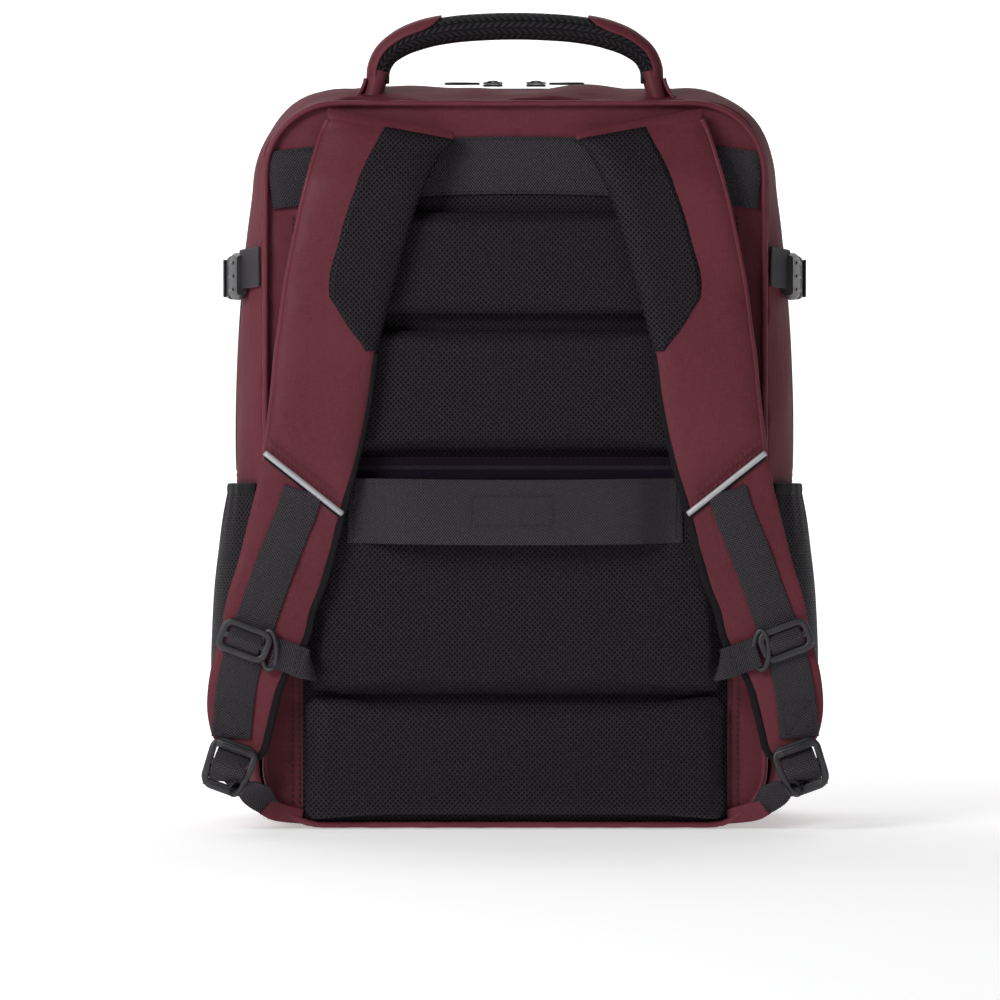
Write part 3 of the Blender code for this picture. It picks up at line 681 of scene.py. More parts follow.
def make_shell():
    """Gussets round the seam outline, the panels that fill it, and the piping."""
    rail = outline()
    place(build("rear_gusset", "nylon_side",
                grid(gusset(rail, np.linspace(REAR_SEAM, 0.0062, 30), folds=1.0)), wall=0.002),
          "pack", "nylon", "top_gusset", "side_gusset_L", "side_gusset_R")
    low = rail[(rail[:, 0] > 0) & (rail[:, 1] <= ZIP_END - 0.001)]
    low = np.vstack([low, [HALF_WIDTH, ZIP_END, 1, 0]])
    for side, tag in SIDES:
        half = low * (side, 1, side, 1)
        place(build("side_lower_" + tag, "nylon_side",
                    grid(gusset(half, np.linspace(0.0064, FRONT_SEAM, 24)), facing=(side, 0, 0)),
                    wall=0.002), "pack", "nylon")
        seam = gusset(half[::-1], [0.0063], 0.0016)[:, 0]
        place(build("side_seam_" + tag, "thread", stitches(seam)), "pack", "nylon")

    place(build("back_cloth", "nylon",
                grid(panel(MARGIN, HEIGHT - MARGIN, back_depth, 130, 100), facing=REARWARD),
                wall=0.0022), "pack", "nylon", "back_panel")
    ring = at_depth(rail[:, :2] - rail[:, 2:] * PIPE_IN, PIPE_Y)
    x = np.linspace(ring[-1, 0], ring[0, 0], 40)[1:-1]
    ring = np.vstack([ring, field(x, PIPE_Y, ring[0, 2])])
    s = run_length(ring)
    ring[:, 1] += waves(s, (0.034, 0.0003, 0.0), (0.019, 0.00015, 1.0))
    plump = 1 + waves(s, (0.017, 0.035, 0.0), (0.029, 0.04, 0.7))
    place(build("seam_piping", "nylon_edge",
                carry(ring, oval(size("piping"), size("piping"), 14), DEEP, closed=True,
                      scale=plump)), "pack", "nylon", "edge_piping")
    x = (HALF_WIDTH - R_BOTTOM) * np.linspace(-1, 1, 50)[:, None]
    base = field(x, np.linspace(REAR_SEAM, FRONT_SEAM, 30)[None], 0.0015)
    place(build("base_cloth", "nylon", grid(base, facing=(0, 0, -1)), wall=0.0028),
          "pack", "nylon", "bottom_panel")

    for name, start, end, rows, body, node in (
            ("front_lower_cloth", MARGIN, FOLD_Z - 0.0008, 70, "pack", "front_lower"),
            ("lid_cloth", FOLD_Z + 0.0006, HEIGHT - MARGIN, 90, "front", "front_panel")):
        place(build(name, "nylon", grid(panel(start, end, front_depth, rows, 90), facing=DEEP),
                    wall=0.003), body, "nylon", node)
    lid = gusset(upper(rail, ZIP_END + 0.0018), np.linspace(0.0224, FRONT_SEAM, 22))
    place(build("lid_gusset", "nylon_side", grid(lid), wall=0.002),
          "front", "nylon", "front_gusset")
    edge = oval(FRONT_PIPE, FRONT_PIPE, 10)
    seam = at_depth(upper(rail, FOLD_Z + 0.001), FRONT_PIPE_Y)
    place(build("lid_seam_piping", "nylon_edge", carry(seam, edge, DEEP)), "front", "nylon")
    low = low[low[:, 1] < FOLD_Z - 0.002]
    low[:, 1] = np.maximum(low[:, 1], 0.0034)
    for side, tag in SIDES:
        seam = at_depth(low * (side, 1, side, 1), FRONT_PIPE_Y)
        place(build("low_seam_piping_" + tag, "nylon_edge", carry(seam, edge, DEEP)),
              "pack", "nylon")
    x, z = np.linspace(-0.152, 0.152, 60)[:, None], FOLD_Z + np.linspace(-0.008, 0.008, 12)[None]
    y = front_depth(x, z, x / half_width(z), (z - HEIGHT / 2) / (HEIGHT / 2)) + 0.0021
    strip = build("fold_cover", "binding", grid(field(x, y, z), facing=DEEP), wall=0.0008)
    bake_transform(strip)


def make_pockets():
    """Side pockets that puff out from the gusset: out = seat + (full - seat)(1 - |t|^3),
    a cloth foot, and a net drawn into gathers by its elastic hem."""
    t = np.linspace(-1, 1, 41)[None]
    y = -0.0025 + 0.0765 * t

    def skin(side, z, full, gather=0.0):
        z, full = z[:, None], full[:, None]
        low = np.sqrt(np.maximum(1 - ((R_BOTTOM - z) / R_BOTTOM) ** 2, 0))
        normal = np.where(z < R_BOTTOM, low, 1.0)
        seat = half_width(z) + normal * bulge(z[:, 0])[:, None] * fullness(y) + 0.0014
        return field(side * (seat + (full - seat) * (1 - np.abs(t) ** 3) + gather), y, z)

    foot = np.linspace(0.0050, 0.0755, 30)
    foot_full = smooth(foot, (0.0050, 0.0105, 0.022, 0.038, 0.056, 0.0755),
                       (0.1470, 0.1620, 0.1770, 0.1860, 0.1910, 0.1935))
    z = np.linspace(0.0757, 0.2120, 60)
    full = smooth(z, (0.0763, 0.093, 0.125, 0.16, 0.19, 0.2120),
                  (0.1937, 0.1945, 0.1938, 0.1912, 0.1865, 0.1815))
    pull = ((ease((z - 0.165) / 0.045) * 0.0011)[:, None] * (1 - np.abs(t) ** 4)
            * waves(y, (0.0115, 1.0, 0.0), (0.017, 0.5, 1.0)))
    for side, tag in SIDES:
        place(build("pocket_cloth_" + tag, "nylon",
                    grid(skin(side, foot, foot_full), facing=(side, 0, 0)), wall=0.0012),
              "pack", "nylon", "pocket_base_" + tag)
        net = skin(side, z, full, pull)
        place(build("pocket_net_" + tag, "pocket", grid(net, facing=(side, 0, 0)), wall=0.0011),
              "pack", "mesh", "pocket_mesh_" + tag)
        place(build("pocket_hem_" + tag, "binding",
                    carry(net[-1], oval(0.0026, 0.0075, 12, 3), (side, 0, 0))),
              "pack", "webbing")
        place(build("pocket_seam_" + tag, "dark_thread",
                    stitches(net[0] + (side * 0.0009, 0, 0.0015))), "pack", "mesh")


# ---- the back ----------------------------------------------------------------------

def swell(obj, voxel=0.0042, pressure=4.0, cap=0.004, frames=20):
    """Evens the mesh with a voxel remesh, blows it up as cloth for some frames, and
    keeps every point within `cap` of where it started. Gives the points back."""
    def applied():
        graph = bpy.context.evaluated_depsgraph_get()
        return bpy.data.meshes.new_from_object(obj.evaluated_get(graph))

    def points(mesh):
        flat = np.empty(len(mesh.vertices) * 3)
        mesh.vertices.foreach_get("co", flat)
        return flat.reshape(-1, 3)

    even = obj.modifiers.new("Even", "REMESH")
    even.mode, even.voxel_size = "VOXEL", voxel
    mesh = applied()
    obj.modifiers.clear()
    obj.data = mesh
    start = points(mesh)
    cloth = obj.modifiers.new("Cloth", "CLOTH")
    cloth.settings.use_pressure = True
    cloth.settings.uniform_pressure_force = pressure
    cloth.settings.effector_weights.gravity = 0
    for number in range(1, frames + 1):
        bpy.context.scene.frame_set(number)
    after = applied()
    move = points(after) - start
    obj.modifiers.clear()
    bpy.data.meshes.remove(after)
    bpy.context.scene.frame_set(1)
    far = np.linalg.norm(move, axis=1, keepdims=True)
    return start + move * np.minimum(1, cap / np.maximum(far, 1e-9))


def make_cushions():
    """Four back cushions: closed squarish pillows with x, z = half * cos^0.22(lat) *
    cos^0.10 or sin^0.10(lon), swollen as cloth, fitted to their place, crowned inside a
    pressed seam, and flat behind."""
    lon = turn(120)[None]
    lat = np.linspace(-np.pi / 2 + 0.03, np.pi / 2 - 0.03, 24)[:, None]
    ring = power(np.cos(lat), 0.22)
    for number in (1, 2, 3, 4):
        node = "back_pad_%d" % number
        low, high = (np.array(v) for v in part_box(node))
        mid, half = (low + high) / 2, (high - low) / 2
        skin = field(half[0] * 0.997 * ring * power(np.cos(lon), 0.10),
                     half[1] * 0.86 * np.sin(lat),
                     half[2] * 0.992 * ring * power(np.sin(lon), 0.10))
        obj = build("cushion_%d" % number, "mesh", grid(skin + mid, wrap_v=True, caps=True))
        p = swell(obj) - mid
        for axis in (0, 2):
            p[:, axis] *= half[axis] / np.abs(p[:, axis]).max()
        u, w = np.abs(p[:, 0] / half[0]), np.abs(p[:, 2] / half[2])
        edge = np.minimum((1 - u) * half[0], (1 - w) * half[2])
        crown, seam = ease(edge / 0.030), np.exp(-((edge - 0.006) / 0.0022) ** 2)
        p[:, 1] -= ease(-p[:, 1] / half[1]) * (0.0017 * crown - 0.0007 * seam)
        p = np.clip(p + mid, low - (0, 0.0012, 0), np.array([high[0], PAD_BACK, high[2]]))
        obj.data.vertices.foreach_set("co", p.ravel())
        obj.data.update()
        obj.data.shade_smooth()
        extra = obj.modifiers.new("Rounds", "SUBSURF")
        extra.levels = extra.render_levels = 1
        obj.data.materials.clear()
        obj.data.materials.append(LOOKS["mesh"])
        place(obj, "pack", "mesh", node, pad=0.85)


def make_back():
    """Backing and stitching of the cushions, cross band, trolley strap and back zip."""
    x, z = np.linspace(-0.1325, 0.1325, 40)[None], np.linspace(0.0040, 0.3985, 60)[:, None]
    place(build("mesh_backing", "mesh", grid(field(x, PAD_BACK, z), facing=REARWARD),
                wall=0.0007), "pack", "mesh")
    for side, tag in SIDES:
        line = flow([(side * 0.1347, -0.0904, z) for z in (0.010, 0.2, 0.386)], 60)
        place(build("back_stitching_" + tag, "dark_thread", stitches(line, up=ACROSS),
                    stitches(line + (side * 0.0042, 0, 0), up=ACROSS)), "pack", "nylon")
    x = np.linspace(-0.1532, 0.1532, 40)
    band = field(x, -0.0914, 0.4140 - 0.0100 * (np.abs(x) / HALF_WIDTH) ** 2)
    place(build("cross_band", "webbing",
                carry(band, slab(size("cross_band"), 0.0019, 0.0008, 2), UP)),
          "pack", "webbing", "top_band")
    rows = [stitches(band[1:-1] + (0, -0.0011, z)) for z in (-0.0163, 0.0163)]
    place(build("band_stitching", "dark_thread", *rows), "pack", "webbing")

    half = np.array([(-0.104, -0.1046), (-0.095, -0.1048), (-0.088, -0.1085),
                     (-0.076, -0.1176), (-0.066, -0.1212), (-0.035, -0.1225), (0.0, -0.1229)])
    whole = np.vstack([half, (half * (-1, 1))[::-1][1:]])
    path = flow(field(whole[:, 0], whole[:, 1], 0.1985), 90)
    path[:, 2] -= 0.0012 * (1 - (path[:, 0] / 0.104) ** 2)
    place(build("trolley_strap", "webbing",
                carry(path, slab(size("trolley_strap"), 0.0018, 0.0008, 2), UP)),
          "pack", "webbing", "luggage_strap")
    left, right, low, high = -0.027, 0.023, 0.1888, 0.2072
    box = [(left, low), (right, low), (right, high), (left, high), (left, low)]
    lines = [flow([(a[0], -0.1241, a[1]), (b[0], -0.1241, b[1])], 8)
             for a, b in zip(box, box[1:])]
    lines += [flow([(x, -0.1059, 0.180), (x, -0.1059, 0.217)], 8) for x in (-0.100, 0.100)]
    place(build("trolley_strap_stitching", "dark_thread", *[stitches(k) for k in lines]),
          "pack", "webbing")

    for name, z, nodes in (("upper", 0.2290, ["back_zip"]), ("lower", 0.2208, [])):
        tape = flow([(-0.131, -0.0950, z), (0.131, -0.0950, z)], 30)
        place(build("back_zip_tape_" + name, "tape", carry(tape, slab(0.0056, 0.0022, 0.0006), UP)),
              "pack", "ziptape", *nodes)
    line = flow([(-0.130, -0.0958, 0.2249), (0.130, -0.0958, 0.2249)], 40)
    place(build("back_zip_coil", "coil", *coil(line, UP, 0.0034)), "pack", "ziptape")
    make_slider("back_zip_slider", (0.114, -0.0993, 0.2249), ACROSS, UP, REARWARD,
                (0.0150, 0.0074, 0.0036), "back_slide", "back_slider")


# ---- zips ----------------------------------------------------------------------------

def coil(path, across, width, pitch=0.0012, both=True):
    """Zip coil: short bars across the tape, each half set off by half a pitch."""
    rows = []
    for k, sign in enumerate((1, -1) if both else (1,)):
        s = np.arange(pitch * (0.5 + 0.5 * k), run_length(path)[-1], pitch)
        a, reach = along(path, s), sign * np.asarray(across, float) * width
        rows.append(bars(a - reach * 0.12, a + reach * 0.5, 0.00046, up=(0.31, 0.77, 0.55),
                         fat=(0.7, 1.0, 0.8)))
    return rows


def make_slider(name, middle, run, across, out, sizes, body, node):
    """Zip slider: a waisted base, a narrower top plate and an arched bridge. Its sizes are
    length, width and height."""
    length, wide, high = sizes
    t = np.linspace(-1, 1, 14)
    base = local(field(t * length / 2, 0, -high * 0.32), middle, run, across, out)
    waist = 1 - 0.16 * np.cos(t * np.pi) * np.linspace(1.0, 0.4, 14)
    shape = waist * np.sqrt(1 - (0.93 * t) ** 6)
    a = np.linspace(0, np.pi, 12)
    arch = local(field(np.cos(a) * length * 0.30, 0, high * (0.18 + 0.30 * np.sin(a))),
                 middle, run, across, out)
    place(build(name, "zinc",
                carry(base, slab(wide, high * 0.26, high * 0.1), across, scale=shape),
                carry(base + np.asarray(out) * high * 0.44,
                      slab(wide * 0.92, high * 0.24, high * 0.1), across, scale=shape * 0.96),
                carry(arch, slab(wide * 0.26, high * 0.20, high * 0.08), across), sharp=40),
          body, "zinc", node)


def make_puller(name, start, end, across, body, node, wide=0.0070, thick=0.0018):
    """Zip puller: a flat tab with a neck, a waist and grip ridges."""
    start, end, across = (np.asarray(v, float) for v in (start, end, across))
    t = np.linspace(0, 1, 26)
    shape = smooth(t, (0, 0.05, 0.22, 0.34, 0.6, 0.9, 0.98, 1),
                   (0.35, 0.5, 0.52, 0.86, 1.0, 0.86, 0.55, 0.2))
    tab = carry(start + (end - start) * t[:, None], slab(wide, thick, thick * 0.35), across,
                scale=np.stack([shape, 0.75 + 0 * shape], 1))
    at = (start + (end - start) * np.linspace(0.45, 0.85, 6)[:, None]
          + unit(np.cross(end - start, across)) * thick * 0.36)
    grip = bars(at - across * wide * 0.30, at + across * wide * 0.30, 0.0005, up=end - start)
    place(build(name, "plastic", tab, grip, sharp=45), body, "plastic", node)


def make_zips():
    """Main zip over the top, its sliders, and the front pocket with its own zip."""
    top = upper(outline(), ZIP_END + 0.001)
    for end, depths, body, edge, way in (
            ("rear", (0.0052, 0.0100, 0.0138), "pack", 0.0130, 1),
            ("front", (0.0146, 0.0180, 0.0236), "front", 0.0154, -1)):
        place(build("main_tape_" + end, "tape", grid(gusset(top, depths, 0.0013)), wall=0.0010),
              body, "ziptape", "main_zip_" + end)
        line = gusset(top, [edge], 0.0022)[:, 0]
        place(build("main_coil_" + end, "coil", *coil(line, (0, way, 0), 0.0026, both=False)),
              body, "ziptape")
    for side, tag in SIDES:
        make_slider("main_zip_slider_" + tag, (side * 0.0140, 0.0142, 0.4754), (side, 0, 0),
                    DEEP, UP, (0.0128, 0.0100, 0.0036), "main_slide_" + tag,
                    "main_slider_" + tag)
        make_puller("main_zip_puller_" + tag, (side * 0.0226, 0.0142, 0.4755),
                    (side * 0.0455, 0.0142, 0.4755), DEEP, "main_pull_" + tag,
                    "main_puller_" + tag)

    t, v = np.linspace(-1, 1, 60)[:, None], np.linspace(-1, 1, 40)[None]
    x, z = 0.118 * t, 0.120 + 0.080 * v
    rim = (1 - np.abs(t) ** 12) * (1 - np.abs(v) ** 10)
    y = 0.1012 + 0.0072 * rim ** 0.5 + 0.0008 * waves(x + z, (0.09, 0.5, 0.2)) * rim
    place(build("front_pocket_cloth", "nylon", grid(field(x, y, z), facing=DEEP), wall=0.0016),
          "pack", "nylon", "front_pocket")
    for k, z, nodes in ((0, 0.1768, []), (1, 0.1872, ["front_zip"])):
        line = flow([(-0.108, 0.1100, z), (0.108, 0.1100, z)], 30)
        place(build("front_zip_tape_%d" % k, "tape",
                    carry(line, slab(0.0060, 0.0012, 0.0005), UP)), "pack", "ziptape", *nodes)
    line = flow([(-0.107, 0.1108, 0.182), (0.107, 0.1108, 0.182)], 40)
    place(build("front_zip_coil", "coil", *coil(line, UP, 0.0036)), "pack", "ziptape")
    make_slider("front_zip_slider", (0.092, 0.1144, 0.1820), ACROSS, UP, DEEP,
                (0.0118, 0.0080, 0.0034), "front_slide", "front_slider")
    make_puller("front_zip_puller", (0.0841, 0.1140, 0.1820), (0.0610, 0.1140, 0.1820),
                UP, "front_pull", "front_puller")


# ---- shoulder straps -------------------------------------------------------------------

def make_strap(side, tag):
    """A padded body that thins at its ends, a mesh panel round its inner edge, a flat
    tail, the diagonal reflective piping, and webbing sewn down the tail."""
    body = "strap_" + tag
    t = np.r_[np.linspace(0, 1, 10)[:-1], np.linspace(1, 9, 130)]
    mid, half, thick = strap_rows(t)
    s = run_length(mid)
    ends = np.sqrt(1 - (1 - np.clip((s + 0.0005) / 0.010, 0, 1)) ** 2) * 0.92 + 0.08
    thick = np.minimum(thick, 0.0112) * ends * (0.50 + 0.50 * ease((s[-1] - s) / 0.020))
    angle = turn(64)
    crease = (waves(s, (0.037, 0.00030, 0.3), (0.061, 0.00035, 1.7))[:, None]
              * np.maximum(np.sin(angle), 0) * np.exp(-((np.cos(angle) + 0.45) / 0.45) ** 2))
    skin = strap_surface(side, t, angle, crease, thick)
    skin = np.vstack([skin[:1] + (0, 0, 0.0052), skin])
    place(build("strap_body_" + tag, "nylon", grid(skin, wrap_v=True, caps=True)),
          body, "nylon", "strap_pad_" + tag, pad=0.8)
    make_strap_net(side, tag, t, thick)

    t = np.linspace(8.6, 18, 150)
    mid, _, thick = strap_rows(t)
    s = run_length(mid)
    thick = np.minimum(thick, 0.0040) * (
        0.35 + 0.65 * np.sqrt(np.clip((s[-1] - s) / 0.006, 0, 1)))
    tail = strap_surface(side, t, turn(48), 0.0, thick)
    soft = waves(s, (0.052, 0.00035, 0.4), (0.031, 0.0002, 2.0))
    tail[..., 1] += (soft * (np.linspace(0, 1, 150) > 0.1))[:, None]
    place(build("strap_tail_" + tag, "nylon", grid(tail, wrap_v=True, caps=True)),
          body, "nylon")
    inner = on_strap(side, np.linspace(5.95, 17.6, 120), 0.985)
    inner[:, 1] = strap_depth(inner[:, 2]) - 0.0002
    place(build("strap_binding_" + tag, "binding", carry(inner, oval(0.0042, 0.0048, 12, 3), DEEP)),
          body, "webbing")
    outer = on_strap(side, np.linspace(0.1, 9, 120), -0.975)
    outer[:, 1] = strap_depth(outer[:, 2]) - 0.0016 * np.minimum(np.linspace(10, 0, 120), 1)
    place(build("strap_fold_" + tag, "nylon_edge", carry(outer, oval(0.0022, 0.0034, 12), DEEP)),
          body, "nylon")
    make_strap_piping(side, tag)

    x = side * np.array((0.1312, 0.1335, 0.1455, 0.1595, 0.1655, 0.1710, 0.1745, 0.1758))
    z = (0.2110, 0.2030, 0.1720, 0.1330, 0.1160, 0.0970, 0.0740, 0.0580)
    place(build("strap_web_" + tag, "webbing",
                carry(flow(field(x, WEB_Y, z), 120), slab(size("strap_web"), 0.0016, 0.0007, 2),
                      (side * 0.944, 0, 0.330))),
          body, "webbing", "strap_webbing_" + tag)
    box = local([(x * 0.0090, z * 0.0105, 0) for x, z in ((-1, 1), (1, 1), (1, -1), (-1, -1))],
                (side * 0.1751, WEB_Y - 0.0010, 0.0700), (0.985, 0, side * 0.17),
                (-side * 0.17, 0, 0.985), REARWARD)
    lines = [flow(box[[a, b]], 6) for a, b in ((0, 1), (1, 2), (2, 3), (3, 0), (0, 2), (1, 3))]
    place(build("strap_box_stitch_" + tag, "dark_thread", *[stitches(line) for line in lines]),
          body, "webbing")

    first = STATIONS[0]
    w = np.linspace(0.06, 0.94, 24)[:, None]
    k = np.linspace(0, 1, 8)[None]
    root = field(-side * (first[0] + (first[2] - first[0]) * w) + side * 0.0008 * k,
                 -0.1005 + 0.0086 * k ** 1.4,
                 first[1] + (first[3] - first[1]) * w + 0.0034 + 0.0022 * k)
    cover = build("strap_root_" + tag, "nylon", grid(root, facing=REARWARD), wall=0.0016)
    side * 0.08
    side * 0.08
    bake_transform(cover)
    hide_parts("strap_anchor_" + tag)


def make_strap_net(side, tag, t, thick):
    """Mesh panel from its seam over the strap's inner edge and a little behind it. It lies
    on the skin, sinks in at the seam, and its columns are even in u up to the turn."""
    body, flat_end = "strap_" + tag, 0.80
    rows = t < 5.92
    seam = np.interp(t[rows], np.arange(len(MESH_SEAM)), MESH_SEAM)[:, None]
    thick = thick[rows][:, None]
    flat = seam + (np.maximum(flat_end, seam + 0.02) - seam) * np.linspace(0, 1, 24)[None] ** 1.3
    face = np.arccos(np.clip(power(flat, 2.5), -1, 1))
    w = np.linspace(0, 1, 15)[None, 1:]
    angles = np.hstack([face, face[:, -1:] * (1 - w) - 0.9 * w])
    sunk = ease(np.hstack([(flat - seam) / 0.09, 1 + 0 * w + 0 * seam]))
    lift = np.hstack([0.0014 + 0 * face, 0.0014 - 0.0012 * ease((w - 0.4) / 0.6) + 0 * seam])
    lift -= 0.0021 * (1 - sunk)
    u = power(np.cos(angles), 0.4)
    mid, half, _ = strap_rows(t[rows])
    at = mid[:, None] + half[:, None] * (u * (1 + 0.018 * ease((u - 0.9) / 0.1)))[..., None]
    y = strap_depth(at[..., 1]) - np.sin(angles) * (thick / 2 + lift) - 0.0002
    net = field(-side * at[..., 0], y, at[..., 1])
    place(build("strap_net_" + tag, "mesh", grid(net, facing=REARWARD), wall=0.0009),
          body, "mesh", "strap_mesh_" + tag)
    place(build("strap_net_stitching_" + tag, "dark_thread",
                stitches(net[2:-2, 4] + (0, -0.0007, 0))), body, "mesh")


def make_strap_piping(side, tag):
    """Reflective piping across the strap, the flange that it is sewn with, and four rows
    of stitches beside it."""
    body = "strap_" + tag
    a, b = (on_strap(side, [9.0], [u])[0] for u in (-0.985, 0.985))

    def slanted(rise, lift):
        w = np.linspace(0, 1, 40)[:, None]
        path = a * (1 - w) + b * w + (side * rise * 0.10, 0, rise)
        path[:, 1] = STRAP_Y - lift * (1 - 0.35 * np.abs(2 * w[:, 0] - 1) ** 6)
        return path

    place(build("strap_piping_" + tag, "silver",
                carry(slanted(0.0, 0.0034), oval(0.0034, 0.0036, 14), DEEP)), body, "nylon")
    place(build("strap_piping_flange_" + tag, "binding",
                carry(slanted(-0.0024, 0.0024), slab(0.0030, 0.0016, 0.0006), UP)),
          body, "webbing")
    rows = ((0.0040, 0.0044), (0.0054, 0.0047), (0.0098, 0.0054), (0.0112, 0.0056))
    place(build("strap_stitching_" + tag, "thread",
                *[stitches(slanted(rise, lift)[2:-2]) for rise, lift in rows]), body, "nylon")


def tilted(side, degrees):
    """A buckle's own right, up and out directions, turned with the strap."""
    tilt = math.radians(degrees)
    return (np.array((side * math.cos(tilt), 0, math.sin(tilt))),
            np.array((-side * math.sin(tilt), 0, math.cos(tilt))), np.array(REARWARD))


def make_chest_web(side, tag):
    """Three-bar slide on the strap webbing, its oval loop, and the short folded web."""
    body = "chest_" + tag
    e1, e2, out = tilted(side, 21)
    mid = np.array([side * 0.1672, -0.1189, 0.1180])
    x = np.linspace(-0.0135, 0.0135, 14)
    bar = local(field(x, 0, 0.0011 * (1 - (x / 0.0145) ** 2)), mid, e1, e2, out)
    a = turn(40)
    loop = field(side * 0.1520 + 0.0046 * np.cos(a), -0.1190 - 0.0012 * np.cos(a),
                 0.1122 + 0.0122 * np.sin(a))
    place(build("chest_slide_" + tag, "plastic",
                carry(local(loop_path(0.0290, 0.0170, 0.0050), mid, e1, e2, out),
                      slab(0.0034, 0.0046, 0.0014), out, closed=True),
                carry(bar, slab(0.0042, 0.0026, 0.0010), e2),
                carry(loop, oval(0.0034, 0.0034, 10), out, closed=True), sharp=50),
          body, "plastic", "chest_slider_" + tag)
    hump = [(0, y, z) for y, z in ((-0.0120, -0.0020), (-0.0066, -0.0016), (-0.0040, 0.0012),
                                   (0, 0.0031), (0.0040, 0.0012), (0.0066, -0.0016),
                                   (0.0120, -0.0020))]
    place(build("chest_slide_web_" + tag, "webbing",
                ribbon(local(hump, mid, e1, e2, out), 0.0215, 0.0012, e1, 40)),
          body, "webbing")
    fold = np.array([(0.1430, -0.1181), (0.1340, -0.1181), (0.1285, -0.1168), (0.1262, -0.1133),
                     (0.1282, -0.1100), (0.1340, -0.1089), (0.1465, -0.1089), (0.1540, -0.1060)])
    path = field(side * fold[:, 0], fold[:, 1], 0.1040 + 0.38 * (fold[:, 0] - 0.131))
    path = np.vstack([[side * 0.1500, -0.1200, 0.1110], path])
    place(build("chest_strap_" + tag, "webbing",
                ribbon(path, size("chest_web"), 0.0014, (side * 0.30, 0, 0.95), 70)),
          body, "webbing", "chest_web_" + tag)
    tacks = [stitches(flow([(side * x, -0.1190, z), (side * (x - 0.0030), -0.1190, z + 0.0150)], 8))
             for x, z in ((0.1375, 0.0985), (0.1350, 0.0978))]
    place(build("chest_strap_stitching_" + tag, "dark_thread", *tacks), body, "webbing")

    low, high = (np.array(v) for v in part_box("chest_buckle_" + tag))
    wide, deep, tall = high - low
    x = np.linspace(-0.5, 0.5, 24)
    run = (low + high) / 2 + field(x * wide, 0, 0)
    shape = np.stack([0.80 + 0.20 * np.cos(x * 2.6), 0.86 + 0.14 * np.cos(x * 3.0)], 1)
    lips = [carry(run[5:15] + (0, 0, z * tall), oval(0.0022, deep * 0.86, 10), UP)
            for z in (-0.42, 0.42)]
    place(build("chest_clip_" + tag, "plastic",
                carry(run, slab(tall, deep, 0.0030), UP, scale=shape), *lips, sharp=50),
          body, "plastic", "chest_buckle_" + tag)


def make_lower_web(side, tag):
    """Ladder lock at the tip, the web laced through it, and its tab at the corner."""
    e1, e2, out = tilted(side, 20)
    mid = np.array([side * 0.1770, -0.1195, 0.0400])
    rim = loop_path(0.0256, 0.0285, 0.0060, 8)
    rim[:, 0] *= 1 + 0.07 * rim[:, 1] / 0.0145
    rim[:, 2] = 0.0010 - 0.0018 * (rim[:, 1] / 0.0145) ** 2
    parts = [carry(local(rim, mid, e1, e2, out), slab(0.0036, 0.0044, 0.0014), out, closed=True)]
    x = np.linspace(-0.0118, 0.0118, 14)
    for y, lift, wide, thick in ((0.0, 0.0014, 0.0044, 0.0030), (0.0122, 0.0016, 0.0050, 0.0032),
                                 (-0.0128, -0.0010, 0.0046, 0.0030)):
        bar = local(field(x, y, lift * (1 - (x / 0.0125) ** 2)), mid, e1, e2, out)
        parts.append(carry(bar, slab(wide, thick, 0.0012), e2))
    for y in (0.0108, 0.0130):
        rib = local(field(x[2:-2], y, 0.0031), mid, e1, e2, out)
        parts.append(carry(rib, oval(0.0008, 0.0010, 8), e2))
    place(build("strap_lock_" + tag, "plastic", *parts, sharp=50), "lock_" + tag, "plastic",
          "ladder_lock_" + tag)

    path = [(side * 0.1500, -0.0948, 0.0100), (side * 0.1560, -0.1002, 0.0165),
            (side * 0.1635, -0.1078, 0.0250), (side * 0.1690, -0.1140, 0.0305)]
    laced = local([(-0.0002, -0.0085, -0.0020), (0, -0.0052, 0.0016), (0, 0.0, 0.0040),
                   (0, 0.0050, 0.0014), (0, 0.0090, -0.0026), (0, 0.0040, -0.0042)],
                  mid, e1, e2, out)
    t = np.linspace(0, 1, 110)
    twist = ease(t / 0.5)[:, None]
    across = unit(np.array([side * 0.76, 0, -0.65]) * (1 - twist) + e1 * twist)
    strap = build("lower_web_" + tag, "webbing",
                  carry(flow(np.vstack([path, laced]), 110),
                        slab(size("lower_web"), 0.0014, 0.0006, 2), across,
                        scale=taper(0.55 + 0.45 * ease(t / 0.30))))
    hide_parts("anchor_web_" + tag)
    "strap_" + tag
    side * 0.1500
    side * 0.1700
    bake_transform(strap)
    tab = [(side * 0.1330, -0.0908, 0.0075), (side * 0.1420, -0.0930, 0.0092),
           (side * 0.1500, -0.0958, 0.0115), (side * 0.1548, -0.0992, 0.0150)]
    place(build("corner_tab_" + tag, "nylon",
                carry(flow(tab, 24), slab(0.0190, 0.0030, 0.0012), (side * 0.5, 0, -0.86),
                      scale=taper(np.linspace(0.50, 0.72, 24)))), "pack", "nylon")


# ---- handle, side buckles, inside ----------------------------------------------------------

